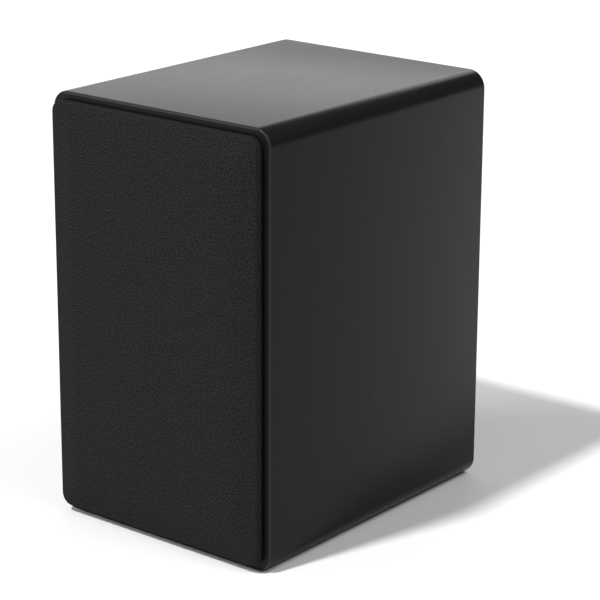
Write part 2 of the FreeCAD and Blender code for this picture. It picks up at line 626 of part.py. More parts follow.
def wire_solid(points, radius, bend):
    """A round wire through the points, each corner eased with an arc of the bend radius."""
    edges, here = [], points[0]
    for before, corner, after in zip(points, points[1:], points[2:]):
        into, out = (corner - before).normalize(), (after - corner).normalize()
        turn = into.getAngle(out)
        back = bend * math.tan(turn / 2)
        start, end = corner - into * back, corner + out * back
        inward = (out - into).normalize()
        middle = corner + inward * (bend / math.cos(turn / 2) - bend)
        edges.append(Part.LineSegment(here, start).toShape())
        edges.append(Part.Arc(start, middle, end).toShape())
        here = end
    edges.append(Part.LineSegment(here, points[-1]).toShape())
    path = Part.Wire(edges)
    ring = Part.Wire([Part.makeCircle(radius, points[0], points[1] - points[0])])
    return path.makePipeShell([ring], True, False)


def make_tinsel_leads():
    """Two braided leads from the terminal strip, in through a basket window, to the cone's back."""
    across, join = value(STRIP_REACH) - value("lead_inset"), value("lead_join")
    strip_front, front = value(STRIP_BACK) - value("strip_thick"), value("spider_ledge - lead_lift")
    cone_back = value("ledge + %s*(%s - lead_join) + 1.3*cone_thick" % (CONE_SLOPE, LIP_IN))
    end = cone_back + value("lead_radius + lead_gap")
    solids = []
    for side in (-1, 1):
        up = side * value("blade_pitch") / 2
        route = [(across, strip_front, up), (across, front, up), (join, front, up), (join, end, up)]
        points = [Vector(x, y + value(FRONT), z + value("woofer_height")) for x, y, z in route]
        solids.append(wire_solid(points, value("lead_radius"), value("lead_bend")))
    loose("woofer_tinsel_leads", Part.makeCompound(solids))


# ---------------------------------------------------------------- tweeter

TWEETER = {"along": FRONT, "up": TWEETER_UP}
DOME_PLATE = "(dome_edge + edge_seat)"
TWEETER_MAGNET_FRONT = "(%s + tweeter_plate)" % DOME_PLATE
TWEETER_MAGNET_BACK = "(%s + tweeter_magnet_thick)" % TWEETER_MAGNET_FRONT
TWEETER_BACK = "(%s + tweeter_plate)" % TWEETER_MAGNET_BACK


def make_tweeter_face():
    face = Piece("tweeter_faceplate", **TWEETER)
    hub = "%s + hub_wide" % THROAT
    face.turn([
        ("mouth", "0"), ("face_radius", "0"), ("face_radius", "face_thick"), (hub, "face_thick"),
        (hub, "dome_edge"), (THROAT, "dome_edge"), (THROAT, "dome_edge - throat_lip", "horn_round"),
    ])
    face.cut(circles(TWEETER_SCREWS, "tweeter_screw_radius + screw_fit"), "0", "face_thick")
    face.cut(circles(TWEETER_SCREWS, "tweeter_screw_head + head_fit"), "0", "head_thick")
    gasket = Piece("tweeter_gasket", **TWEETER)
    gasket.pad(circle("0", "0", "face_radius") + circle("0", "0", TWEETER_HOLE)
               + circles(TWEETER_SCREWS, "tweeter_screw_radius"), "face_thick", "tweeter_gasket")
    screws("tweeter_screws", TWEETER_SCREWS, "tweeter_screw_head", "0", "head_thick",
           "tweeter_screw_radius", "tweeter_screw_length - head_thick", ("key_flats", "key_deep"), **TWEETER)


def make_tweeter_dome():
    dome = Piece("tweeter_dome", **TWEETER)
    dome.turn(dome_profile("dome_radius", "dome_rise", "dome_thick", "dome_edge"))
    coil = Piece("tweeter_voice_coil", **TWEETER)
    wound, start = "(dome_radius + dome_coil)", "%s + edge_fit" % DOME_PLATE
    coil.turn([
        ("dome_radius - dome_former", "dome_edge"), ("dome_radius", "dome_edge"),
        ("dome_radius", start), (wound, start),
        (wound, "dome_coil_end"), ("dome_radius - dome_former", "dome_coil_end"),
    ])
    surround = Piece("tweeter_surround", **TWEETER)
    front, inner = "dome_edge - silk_thick", "(dome_radius + edge_flat)"
    outer, clamp = "%s + edge_chord" % inner, "%s + hub_wide - edge_fit" % THROAT
    step = "%s - silk_thick" % THROAT
    surround.turn([
        ("dome_radius", "dome_edge"), ("dome_radius", front), (inner, front, "edge_roll"), (outer, front),
        ("%s - edge_fit" % THROAT, front), ("%s - edge_fit" % THROAT, "dome_edge"),
        (clamp, "dome_edge"), (clamp, DOME_PLATE), (step, DOME_PLATE), (step, "dome_edge"),
        (outer, "dome_edge", "-edge_roll"), ("%s + edge_flat" % inner, "dome_edge"),
    ])


def make_tweeter_motor():
    tube("tweeter_top_plate", "dome_radius + dome_coil + dome_gap", "tweeter_top_radius",
         DOME_PLATE, TWEETER_MAGNET_FRONT, **TWEETER)
    tube("tweeter_magnet", "tweeter_magnet_radius - tweeter_magnet_wall", "tweeter_magnet_radius",
         TWEETER_MAGNET_FRONT, TWEETER_MAGNET_BACK, **TWEETER)
    back = Piece("tweeter_back_plate", **TWEETER)
    pole = "(dome_radius - dome_former - dome_gap)"
    back.turn([
        ("0", DOME_PLATE), (pole, DOME_PLATE), (pole, TWEETER_MAGNET_BACK),
        ("tweeter_back_radius", TWEETER_MAGNET_BACK), ("tweeter_back_radius", TWEETER_BACK),
        ("0", TWEETER_BACK),
    ])
    terminals = Piece("tweeter_terminals", **TWEETER)
    terminals.pad(blades("(lug_inset - tweeter_back_radius)"), TWEETER_BACK, "blade_long")


# ---------------------------------------------------------------- bass port


def make_port():
    port = {"along": REAR, "up": PORT_UP}
    flare = Piece("port_flare", **port)
    socket = "(port_radius + port_wall)"
    outer = "(port_radius + port_wall + port_socket_wall)"
    step, end = "-(flare_round + port_neck)", "-(flare_round + port_neck + port_socket)"
    flare.turn([
        ("port_radius + flare_round", "0", "flare_round"), ("port_radius", "-flare_round"),
        ("port_radius", step), (socket, step), (socket, end), (outer, end),
        (outer, "-port_flange_thick"), (PORT_FLANGE, "-port_flange_thick"), (PORT_FLANGE, "0"),
    ])
    tube("port_tube", "port_radius", "port_radius + port_wall", "-port_length", step, **port)


# ---------------------------------------------------------------- rear terminals

CUP_REAR = "(cabinet_depth/2 + cup_gasket + cup_flange_thick)"
CUP_FLOOR = "(%s - cup_deep)" % CUP_REAR
RING_TOP = "(%s + ring_thick)" % CUP_FLOOR
WASHER_START = "(%s + post_play)" % RING_TOP
KNOB_START = "(%s + washer_thick + post_play)" % WASHER_START
TAB_START = "(%s - cup_shell - tab_thick)" % CUP_FLOOR
POSTS = {"black": "(-post_pitch/2)", "red": "(post_pitch/2)"}


def make_terminal_cup():
    cup = Piece("terminal_cup", up="cup_height")
    flange = rectangle(CUP_FLANGE_WIDE, CUP_FLANGE_HIGH, rounding="cup_flange_round")
    cup.pad(flange,
            "cabinet_depth/2 + cup_gasket", "cup_flange_thick")
    cup.pad(rectangle("(cup_wide + 2*cup_shell)", "(cup_high + 2*cup_shell)",
                      rounding="(cup_round + cup_shell)"),
            "%s - cup_shell" % CUP_FLOOR, "cup_deep + cup_shell")
    cup.cut(rectangle("cup_wide", "cup_high", rounding="cup_round"), CUP_FLOOR, "cup_deep")
    cup.cut(circles([(across, "0") for across in POSTS.values()], "post_radius + flange_fit"),
            "%s - cup_shell" % CUP_FLOOR, "cup_shell")
    cup.cut(circles(CUP_SCREWS, "cup_screw_radius + screw_fit"),
            "cabinet_depth/2 + cup_gasket", "cup_flange_thick")
    cup.cut(circles(CUP_SCREWS, "cup_screw_head + head_fit"), "%s - head_thick" % CUP_REAR, "head_thick")

    gasket = Piece("terminal_cup_gasket", up="cup_height")
    gasket.pad(flange
               + rectangle("(cup_wide + 2*cup_shell + cup_fit)", "(cup_high + 2*cup_shell + cup_fit)",
                           rounding="(cup_round + cup_shell)")
               + circles(CUP_SCREWS, "cup_screw_radius + screw_fit"),
               REAR, "cup_gasket")

    fasteners = Piece("terminal_cup_screws", up="cup_height")
    fasteners.pad(circles(CUP_SCREWS, "cup_screw_radius"), "%s - cup_screw_length" % CUP_REAR,
                  "(cup_screw_length - head_thick)")
    fasteners.pad(circles(CUP_SCREWS, "cup_screw_head"), "%s - head_thick" % CUP_REAR, "head_thick")
    fasteners.cut([hexagon("key_flats", across, up) for across, up in CUP_SCREWS],
                  "%s - key_deep" % CUP_REAR, "key_deep")


def make_binding_post(colour, across):
    post = {"across": across, "up": "cup_height"}
    stud = Piece(colour + "_post_stud", **post)
    inside = "(%s - post_inside)" % CUP_FLOOR
    stud.pad(circle("0", "0", "post_radius"), inside, "post_inside + post_outside")
    stud.cut(circle("0", "0", "socket_radius"), "(%s + post_outside - socket_deep)" % CUP_FLOOR,
             "socket_deep")
    stud.cut(circle("0", "(%s + wire_hole + wire_hole_lift)" % RING_TOP, "wire_hole"), "-post_radius",
             "2*post_radius", "XY_Plane")
    ring = Piece(colour + "_base_ring", **post)
    ring.pad(circle("0", "0", "ring_radius") + circle("0", "0", "post_radius"), CUP_FLOOR, "ring_thick")
    washer = Piece(colour + "_clamp_washer", **post)
    washer.pad(circle("0", "0", "washer_radius") + circle("0", "0", "post_radius + thread_fit"),
               WASHER_START, "washer_thick")
    knob = Piece(colour + "_knob", **post)
    knob.pad(circle("0", "0", "knob_radius") + circle("0", "0", "post_radius + thread_fit"),
             KNOB_START, "knob_length")
    knob.fillet("knob_groove", lambda edge: edge.BoundBox.YMin > value(KNOB_START) + 1
                and edge.BoundBox.XLength > 1.9 * value("knob_radius"))
    groove = knob.cut(circle("knob_radius + groove_out", "0", "knob_groove"),
                      "(%s + knob_collar)" % KNOB_START, "knob_length")
    knob.repeat(groove, int(value("knob_grooves")))


def make_post_hardware():
    nuts = Piece("post_nuts", up="cup_height")
    shapes = []
    for across in POSTS.values():
        shapes += [hexagon("nut_flats", across, "0")] + circle(across, "0", "post_radius")
    nuts.pad(shapes, "(%s - nut_thick)" % TAB_START, "nut_thick")
    tabs = Piece("solder_tabs", up="cup_height")
    shapes = []
    for across in POSTS.values():
        shapes += rectangle("tab_wide", "tab_long", across=across, up="(tab_over - tab_long/2)",
                            rounding="tab_round")
        shapes += circle(across, "0", "post_radius")
    tabs.pad(shapes, TAB_START, "tab_thick")


# ---------------------------------------------------------------- crossover

BOARD_TOP = "(wall + board_lift + board_thick)"
BOARD_FRONT = "(%s - board_rear_gap - board_long)" % INNER_REAR
BOARD_MIDDLE = "(%s + board_long/2)" % BOARD_FRONT
BOARD_HOLES = four_points("board_wide/2 - board_screw_inset", "board_long/2 - board_screw_inset",
                          up=BOARD_MIDDLE)


def on_board(along):
    """A place measured back from the board's front edge."""
    return "(%s + %s)" % (BOARD_FRONT, along)


def board_pad(label, outline, start, length):
    """A piece that stands upright on or under the board."""
    piece = Piece(label)
    piece.pad(outline, start, length, "XY_Plane")
    return piece


def make_crossover():
    screw_holes = circles(BOARD_HOLES, "board_screw_radius")
    board_pad("crossover_board", rectangle("board_wide", "board_long", up=BOARD_MIDDLE) + screw_holes,
              "wall + board_lift", "board_thick")
    board_pad("crossover_standoffs", circles(BOARD_HOLES, "standoff_radius") + screw_holes,
              "wall", "board_lift")
    fasteners = board_pad("crossover_screws", screw_holes, "wall", "board_lift + board_thick")
    fasteners.pad(circles(BOARD_HOLES, "board_screw_head"), BOARD_TOP, "board_head_thick", "XY_Plane")

    for label, coil in (("woofer_inductor", "big_coil"), ("tweeter_inductor", "small_coil")):
        place = [(coil + "_across", on_board(coil + "_along"))]
        board_pad(label, circles(place, coil) + circles(place, coil + "_bore"), BOARD_TOP, coil + "_thick")

    films = Piece("film_capacitors")
    level = "%s + film_radius" % BOARD_TOP
    films.pad(circles([("film_across", level), ("film_across + film_pitch", level)], "film_radius"),
              on_board("film_along"), "film_long")
    board_pad("filter_capacitor", circle("can_across", on_board("can_along"), "can_radius"),
              BOARD_TOP, "can_tall")
    blocks = rectangle("block_wide", "block_long", across="block_across", up=on_board("block_along"))
    blocks += rectangle("block_wide", "block_long", across="(block_across + block_pitch)",
                        up=on_board("block_along - block_step"))
    board_pad("power_resistors", blocks, BOARD_TOP, "block_tall")


# ---------------------------------------------------------------- wiring


def make_wires(label, routes):
    """A pair of insulated wires, each through its own points."""
    radius, bend = value("wire_radius"), value("wire_bend")
    loose(label, Part.makeCompound([wire_solid(points, radius, bend) for points in routes]))


def make_input_wires():
    """From the solder tabs down to the board's rear edge."""
    clear = value("wire_radius + wire_gap")
    tab_back, tab_low = value(TAB_START) - clear, value("cup_height - tab_long + tab_over + wire_join")
    top = value(BOARD_TOP) + value("wire_gap")
    high, end = top + value("wire_rise"), value(BOARD_FRONT) + value("board_long - wire_edge")
    make_wires("input_wires", [
        [Vector(x, tab_back, tab_low), Vector(x, tab_back, high), Vector(x, end, high), Vector(x, end, top)]
        for x in (value(across) for across in POSTS.values())
    ])


def make_driver_wires(label, board_x, blade_x, blade_back, height, run, drop):
    """From the board's side up to a driver's two solder blades."""
    start_y, top = value(on_board("side_along")), value(BOARD_TOP) + value("wire_gap")
    blade_y = value(blade_back) + value("blade_long + wire_gap")
    routes = []
    for side in (-1, 1):
        y, z = start_y + side * value("wire_pitch") / 2, value(height) + side * value("blade_pitch") / 2
        routes.append([
            Vector(board_x, y, top), Vector(board_x, y, z - value(drop)),
            Vector(blade_x, blade_y + value(run), z), Vector(blade_x, blade_y, z)])
    make_wires(label, routes)


def make_wiring():
    side_x = value("board_wide/2 - side_inset")
    make_input_wires()
    make_driver_wires("woofer_wires", side_x, value("%s - blade_inset" % STRIP_REACH),
                      "%s + %s" % (FRONT, STRIP_BACK), "woofer_height", "strip_run", "strip_drop")
    make_driver_wires("tweeter_wires", -side_x, value("lug_inset - tweeter_back_radius"),
                      "%s + %s" % (FRONT, TWEETER_BACK), TWEETER_UP, "lug_run", "lug_drop")


# ---------------------------------------------------------------- assembly

make_cabinet_shell()
make_front_baffle()
make_rear_panel()
make_shelf_brace()
make_damping_pads()
make_grille()
make_woofer_basket()
make_woofer_moving_parts()
make_woofer_motor()
make_woofer_fittings()
make_tinsel_leads()
make_tweeter_face()
make_tweeter_dome()
make_tweeter_motor()
make_port()
make_terminal_cup()
for colour, across in POSTS.items():
    make_binding_post(colour, across)
make_post_hardware()
make_crossover()
make_wiring()

doc.recompute()
for item in doc.Objects:
    if "Invalid" in item.State or "Error" in item.State:
        raise ValueError("%s was not computed" % item.Label)
for item in Piece.made:
    if item.Shape.isNull() or not item.Shape.isValid():
        raise ValueError("%s has no valid shape" % item.Label)

os.makedirs("parts", exist_ok=True)
for item in Piece.made:
    item.Shape.exportStep(os.path.join("parts", item.Label + ".step"))
print("%d pieces written" % len(Piece.made))
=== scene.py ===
from math import asin, cos, hypot, pi, radians, sin, sqrt

import bmesh
import bpy
from mathutils import Matrix, Vector
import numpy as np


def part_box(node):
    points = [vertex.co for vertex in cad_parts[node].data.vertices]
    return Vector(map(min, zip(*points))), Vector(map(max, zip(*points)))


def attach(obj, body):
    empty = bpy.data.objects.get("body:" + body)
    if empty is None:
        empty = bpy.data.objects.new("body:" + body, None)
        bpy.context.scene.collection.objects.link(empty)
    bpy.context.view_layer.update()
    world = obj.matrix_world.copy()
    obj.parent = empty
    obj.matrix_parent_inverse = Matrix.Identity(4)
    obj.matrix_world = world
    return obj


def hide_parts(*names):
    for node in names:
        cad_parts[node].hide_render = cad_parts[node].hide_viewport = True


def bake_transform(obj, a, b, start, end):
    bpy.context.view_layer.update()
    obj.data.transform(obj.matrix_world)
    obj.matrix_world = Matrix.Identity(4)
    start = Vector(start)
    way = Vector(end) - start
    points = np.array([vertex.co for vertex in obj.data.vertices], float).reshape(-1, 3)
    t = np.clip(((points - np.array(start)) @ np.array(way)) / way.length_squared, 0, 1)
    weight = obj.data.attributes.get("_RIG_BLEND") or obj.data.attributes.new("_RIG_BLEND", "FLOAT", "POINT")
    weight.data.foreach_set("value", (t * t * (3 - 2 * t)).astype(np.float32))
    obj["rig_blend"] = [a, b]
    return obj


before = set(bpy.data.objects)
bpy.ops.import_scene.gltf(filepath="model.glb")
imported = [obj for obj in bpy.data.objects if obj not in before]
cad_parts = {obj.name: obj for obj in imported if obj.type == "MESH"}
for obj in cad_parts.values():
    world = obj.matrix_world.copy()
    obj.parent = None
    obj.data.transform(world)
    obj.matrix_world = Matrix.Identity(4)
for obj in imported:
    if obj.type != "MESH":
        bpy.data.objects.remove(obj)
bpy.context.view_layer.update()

# ---- Camera ----
# A long lens looks at the speaker from its right front, a little above the lid.
shell_low, shell_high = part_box("cabinet_shell")
cabinet_high = shell_high.z - shell_low.z
azimuth, elevation, roll = radians(38.892), radians(17.497), radians(0.284)
aim = Vector((0, shell_low.y + 0.4 * cabinet_high, 0.5 * cabinet_high))
aside, raised, away = 0.05745 * cabinet_high, -0.02561 * cabinet_high, 5.432 * cabinet_high

outward = cos(elevation)
back = Vector((sin(azimuth) * outward, -cos(azimuth) * outward, sin(elevation)))
level = Vector((cos(azimuth), sin(azimuth), 0))
upright = back.cross(level)
right = cos(roll) * level + sin(roll) * upright
top = cos(roll) * upright - sin(roll) * level


def placed(name, data):
    """An object in the scene, with that data."""
    made = bpy.data.objects.new(name, data)
    bpy.context.scene.collection.objects.link(made)
    return made


camera = placed("camera", bpy.data.cameras.new("camera"))
camera.data.lens, camera.data.sensor_width = 139.404, 36
facing = Matrix((right, top, back)).transposed().to_4x4()
camera.matrix_world = Matrix.Translation(aim + aside * right + raised * top + away * back) @ facing
bpy.context.scene.camera = camera

# ---- Floor and light ----
# A white paper sweep under the speaker. A high key light from the front throws the shadow, a
# soft box at the left rear is mirrored in the lid, and two lamps fill the front and right.


class Signal:
    """A number that varies over a surface. Sums and products of signals add Math nodes."""

    def __init__(self, finish, socket):
        self.finish, self.socket = finish, socket

    def math(self, operation, *others):
        return self.finish.node("Math", {"operation": operation}, {
            place: value for place, value in enumerate((self, *others))})

    def __add__(self, other):
        return self.math("ADD", other)

    def __sub__(self, other):
        return self.math("SUBTRACT", other)

    def __rsub__(self, other):
        return self.math("MULTIPLY", -1.0).math("ADD", other)

    def __mul__(self, other):
        return self.math("MULTIPLY", other)

    def __truediv__(self, other):
        return self.math("DIVIDE", other)

    def sine(self):
        return self.math("SINE")

    def above(self, limit, soft):
        """0 under the limit and 1 over it, with a soft step between."""
        return ((self - limit) / soft + 0.5).math("MAXIMUM", 0.0).math("MINIMUM", 1.0)

    __radd__, __rmul__ = __add__, __mul__


class Nodes:
    """A shader tree, to which any kind of node is added in one way."""

    def __init__(self, tree):
        self.tree = tree

    def node(self, kind, settings, inputs, output=0):
        """A node of any kind: its settings first, then a value or a signal for each socket."""
        node = self.tree.nodes.new("ShaderNode" + kind)
        for name, value in settings.items():
            if name == "stops":
                ramp = node.color_ramp.elements
                for place, (position, shade) in enumerate(value):
                    stop = ramp[place] if place < 2 else ramp.new(position)
                    stop.position, stop.color = position, (*shade, 1)
            else:
                setattr(node, name, value)
        for place, value in inputs.items():
            if isinstance(value, Signal):
                self.tree.links.new(value.socket, node.inputs[place])
            else:
                node.inputs[place].default_value = value
        return Signal(self, node.outputs[output])


class Finish(Nodes):
    """One material: a Principled shader and the nodes that vary it over the surface."""

    def __init__(self, name, colour, roughness, **even):
        self.material = bpy.data.materials.new(name)
        self.material.use_nodes = True
        super().__init__(self.material.node_tree)
        self.shader = self.tree.nodes["Principled BSDF"]
        self.shader.inputs["Base Color"].default_value = (*colour, 1)
        self.shader.inputs["Roughness"].default_value = roughness
        for name, amount in even.items():
            self.shader.inputs[name.replace("_", " ")].default_value = amount

    def place(self, axis=None):
        """Where a point is on the object, in metres: the whole vector, or X, Y or Z of it."""
        point = self.node("TexCoord", {}, {}, "Object")
        return point if axis is None else self.node("SeparateXYZ", {}, {0: point}, axis)

    def stretched(self, scale):
        return self.node("Mapping", {}, {"Vector": self.place(), "Scale": scale})

    def noise(self, scale, detail=2.0, at=None):
        """Even noise from 0 to 1, with that many features to the metre."""
        return self.node("TexNoise", {}, {
            "Vector": at or self.place(), "Scale": scale, "Detail": detail}, "Fac")

    def cells(self, scale):
        """The distance to the nearest of many scattered points, from 0."""
        return self.node("TexVoronoi", {}, {
            "Vector": self.place(), "Scale": scale}, "Distance")

    def colour(self, share, low, high):
        """The base colour goes from low to high with the share."""
        self.feed("Base Color", self.node("Mix", {"data_type": "RGBA"}, {
            0: share, 6: (*low, 1), 7: (*high, 1)}, 2))
        return self

    def feed(self, socket, signal):
        self.tree.links.new(signal.socket, self.shader.inputs[socket])
        return self

    def bump(self, height, depth, strength=1.0):
        """Relief: height from 0 to 1 stands for that many metres."""
        return self.feed("Normal", self.node("Bump", {}, {
            "Height": height, "Distance": depth, "Strength": strength}))


floor_reach, ways = 30.0, ((-1, -1), (1, -1), (1, 1), (-1, 1))
floor_mesh = bpy.data.meshes.new("floor")
floor_mesh.from_pydata(
    [(x * floor_reach, y * floor_reach, 0) for x, y in ways], [], [(0, 1, 2, 3)])
floor = placed("floor", floor_mesh)
paper = Finish("floor_paper", (0.86, 0.86, 0.86), 0.95, Specular_IOR_Level=0.1)
paper.colour(paper.noise(3.0), (0.86, 0.86, 0.86), (0.88, 0.88, 0.88))
floor_mesh.materials.append(paper.material)

world = bpy.data.worlds.new("studio")
world.use_nodes = True
sky = Nodes(world.node_tree)
direction = sky.node("TexCoord", {}, {}, "Generated")
lift = sky.node("SeparateXYZ", {}, {0: direction}, "Z")
greys = ((0.0, 0.06), (1.0, 0.26), (0.45, 0.08), (0.8, 0.22))
stops = [(height, (grey, grey, grey)) for height, grey in greys]
shade = sky.node("ValToRGB", {"stops": stops}, {0: lift})
sky.tree.links.new(shade.socket, sky.tree.nodes["Background"].inputs["Color"])
sky.tree.nodes["Background"].inputs["Strength"].default_value = 1.0
bpy.context.scene.world = world
bpy.context.scene.view_settings.view_transform = "Standard"


def lamp(name, kind, direction, **settings):
    """A light that shines in a direction."""
    light = placed(name, bpy.data.lights.new(name, kind))
    for setting, value in settings.items():
        setattr(light.data, setting, value)
    light.rotation_mode = "QUATERNION"
    light.rotation_quaternion = direction.to_track_quat("-Z", "Y")
    return light


lamp("key_front_left", "SUN", Vector((0.125, 0.505, -0.853)), energy=2.6, angle=radians(4.5))
for name, place, aimed, (wide, high), watts in (
        ("rear_left_box", (-1.5, 1.8, 0.95), (0, 0, 0.24), (2.2, 1.2), 13),
        ("left_front_strip", (-1.6, -1.65, 1.2), (0, -0.1, 0.15), (0.9, 0.9), 26),
        ("right_overhead_fill", (1.3, 0.3, 1.9), (0.15, 0, 0), (1.4, 1.4), 22)):
    box = lamp(name, "AREA", Vector(aimed) - Vector(place),
               shape="RECTANGLE", size=wide, size_y=high, energy=watts)
    box.location = place

# ---- Cabinet ----
# The wrap of four fibreboard walls, lacquered satin black. Its long edges are well rounded,
# and a small roundover runs round the front, with a paler band painted along it as a highlight.
corner, front_round, rear_round, wall = 0.010, 0.0016, 0.001, 0.012
# Where the paler band on the front roundover begins and ends behind the face, each with its soft width: a
# painted highlight.
least_round, highlight_band_begins, highlight_band_ends = 0.0001, (0.0003, 0.0003), (0.0011, 0.0004)


def rounded_outline(half_wide, half_high, radius, centre, steps=14):
    """Points round a rectangle with rounded corners, seen from the front, as (x, z) pairs."""
    points = []
    for quarter, (side, level) in enumerate(((1, 1), (-1, 1), (-1, -1), (1, -1))):
        for step in range(steps + 1):
            angle = pi / 2 * (quarter + step / steps)
            points.append((
                centre[0] + side * (half_wide - radius) + radius * cos(angle),
                centre[1] + level * (half_high - radius) + radius * sin(angle)))
    return points


def join_rings(mesh, pairs):
    """Faces between the two rings of points in each pair."""
    for near, far in pairs:
        for index in range(len(near)):
            following = (index + 1) % len(near)
            mesh.faces.new((near[index], near[following], far[following], far[index]))


def skin(rings, closed=False):
    """A shell of rings; closed joins the last ring to the first, and open has its ends capped."""
    mesh = bmesh.new()
    rows = [[mesh.verts.new(point) for point in ring] for ring in rings]
    pairs = list(zip(rows, rows[1:])) + ([(rows[-1], rows[0])] if closed else [])
    join_rings(mesh, pairs)
    if not closed:
        mesh.faces.new(rows[0][::-1])
        mesh.faces.new(rows[-1])
    bmesh.ops.remove_doubles(mesh, verts=mesh.verts, dist=1e-7)
    bmesh.ops.recalc_face_normals(mesh, faces=mesh.faces)
    return mesh


def piece(name, mesh, finish, smooth_degrees=35):
    """A finished object from a mesh, smooth except across edges sharper than the angle."""
    if isinstance(mesh, bmesh.types.BMesh):
        data = bpy.data.meshes.new(name)
        mesh.to_mesh(data)
        mesh.free()
    else:
        data = mesh
        data.name = name
    data.materials.clear()
    data.materials.append(finish.material)
    data.shade_smooth()
    data.set_sharp_from_angle(angle=radians(smooth_degrees))
    return placed(name, data)


def stand_for(made, body, slot, *nodes):
    """The piece moves with a body and is shown in place of CAD nodes; the slot is not used."""
    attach(made, body)
    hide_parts(*nodes)
    return made


def round_over(inset, at, radius, steps, leaving):
    """(inset, y) pairs round an edge at y, from the face to the side or back again."""
    turn = [(pi / 2) * step / steps for step in range(steps + 1)]
    towards = 1 if at < 0 else -1
    pairs = [(
        inset + radius * (1 - sin(a)), at + towards * radius * (1 - cos(a))) for a in turn]
    return pairs[::-1] if leaving else pairs


middle = (0, 0.5 * cabinet_high)
half_wide, half_high = shell_high.x, 0.5 * cabinet_high
profile = [(wall, shell_low.y)] + round_over(0, shell_low.y, front_round, 8, False)
profile += round_over(0, shell_high.y, rear_round, 3, True) + [(wall, shell_high.y)]
rings = []
for inset, y in profile:
    radius = max(corner - inset, least_round)
    outline = rounded_outline(half_wide - inset, half_high - inset, radius, middle, 20)
    rings.append([(x, y, z) for x, z in outline])
lacquer = Finish("satin_black_lacquer", (0.011, 0.011, 0.0115), 0.27, Specular_IOR_Level=0.08)
blush = lacquer.noise(18, 3)
depth = lacquer.place("Y") - shell_low.y
# A paler band painted on the front roundover, 0.3 to 1.1 mm behind the face: a painted highlight along the
# front edge.
painted_highlight_band = depth.above(*highlight_band_begins) * (1 - depth.above(*highlight_band_ends))
lacquer.colour(blush * 0.06 + painted_highlight_band * 0.55, (0.0085, 0.0085, 0.009), (0.047, 0.047, 0.0475))
lacquer.feed("Roughness", 0.25 + 0.05 * blush)
lacquer.bump(lacquer.noise(900, 1), 0.00002, 0.1)
cabinet = piece("cabinet_wrap", skin(rings, closed=True), lacquer, 40)
stand_for(cabinet, "root", "lacquer", "cabinet_shell")

# ---- Front baffle, rear panel and shelf brace ----
# Fibreboard panels cut out on a router. The baffle and the rear panel are painted matt black
# and glued in flush with the wrap; the brace inside is left bare.


def dress(finish, *nodes):
    """The finish on CAD nodes whose shape is right as it is."""
    for node in nodes:
        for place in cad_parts[node].material_slots:
            place.material = finish.material


paint = Finish(
    "matt_black_board_paint", (0.013, 0.013, 0.0135), 0.62, Specular_IOR_Level=0.35)
stipple = paint.noise(1400, 2)
paint.colour(paint.noise(30, 4), (0.011, 0.011, 0.0115), (0.016, 0.016, 0.0165))
paint.feed("Roughness", 0.55 + 0.15 * stipple).bump(stipple, 0.00005, 0.6)
dress(paint, "front_baffle", "rear_panel")

fibreboard = Finish("bare_fibreboard", (0.42, 0.29, 0.17), 0.85)
fibres = fibreboard.noise(260, 4, fibreboard.stretched((1, 1, 6)))
fibreboard.colour(fibres, (0.32, 0.21, 0.12), (0.50, 0.36, 0.22)).bump(fibres, 0.0001, 0.7)
dress(fibreboard, "shelf_brace")

# ---- Damping pads ----
# Two slabs of grey egg-crate foam, glued to the side walls behind the woofer. Their pimpled
# side faces the middle of the cabinet, and their cut edges are a little soft.
pad_pitch, pimple, pad_edge = 0.020, 0.0042, 0.0012
foam = Finish(
    "grey_damping_foam", (0.13, 0.13, 0.14), 0.95, Specular_IOR_Level=0.1, Sheen_Weight=0.2)
pores = foam.cells(1600)
foam.colour(pores, (0.07, 0.07, 0.075), (0.19, 0.19, 0.2)).bump(pores, 0.0003, 0.8)


def foam_pad(node, inward):
    """A slab whose inner face is a field of soft pimples."""
    low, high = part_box(node)
    glued, thick = (low.x if inward > 0 else high.x), high.x - low.x
    columns, rows = 72, 66
    made = bmesh.new()
    grids = []
    for top in (False, True):
        grid = []
        for i in range(columns + 1):
            line = []
            for j in range(rows + 1):
                y = low.y + (high.y - low.y) * i / columns
                z = low.z + (high.z - low.z) * j / rows
                rim = min(i, columns - i, j, rows - j)
                along, up = (sin(2 * pi * at / pad_pitch) for at in (y, z))
                swell = 0.5 + 0.5 * along * up
                height = thick - pimple * (1 - swell) - (pad_edge if rim == 0 else 0)
                line.append(made.verts.new((glued + inward * (height if top else 0), y, z)))
            grid.append(line)
        grids.append(grid)
    for grid in grids:
        for i in range(columns):
            for j in range(rows):
                made.faces.new((grid[i][j], grid[i + 1][j], grid[i + 1][j + 1], grid[i][j + 1]))
    around = [(i, 0) for i in range(columns)] + [(columns, j) for j in range(rows)]
    around += [(i, rows) for i in range(columns, 0, -1)] + [(0, j) for j in range(rows, 0, -1)]
    join_rings(made, [[[grid[i][j] for i, j in around] for grid in grids]])
    bmesh.ops.recalc_face_normals(made, faces=made.faces)
    return made


for node, inward in (("left_damping_pad", 1), ("right_damping_pad", -1)):
    pad = piece(node + "_foam", foam_pad(node, inward), foam, 60)
    stand_for(pad, "root", "foam", node)

# ---- Crossover ----
# A green laminate board on nylon spacers, screwed to the cabinet's floor, with two copper
# coils, three capacitors and two ceramic resistors soldered to it.
laminate = Finish("green_laminate", (0.03, 0.14, 0.06), 0.35, Coat_Weight=0.3)
tracks = ((laminate.place("X") * 420).sine() + (laminate.place("Y") * 300).sine()).above(0.9, 0.15)
laminate.colour(tracks, (0.02, 0.11, 0.045), (0.06, 0.24, 0.10)).bump(tracks, 0.00004, 0.6)
dress(laminate, "crossover_board")


def plain(name, colour, roughness, grain, depth, **even):
    """A finish with fine grain: that many grains to the metre, that deep."""
    made = Finish(name, colour, roughness, **even)
    grit = made.noise(grain, 3)
    low, high = [0.8 * c for c in colour], [min(1.2 * c, 1) for c in colour]
    made.colour(made.noise(grain / 20, 2), low, high)
    made.feed("Roughness", roughness - 0.05 + 0.1 * grit).bump(grit, depth, 0.6)
    return made


copper_tone = (0.72, 0.30, 0.13)


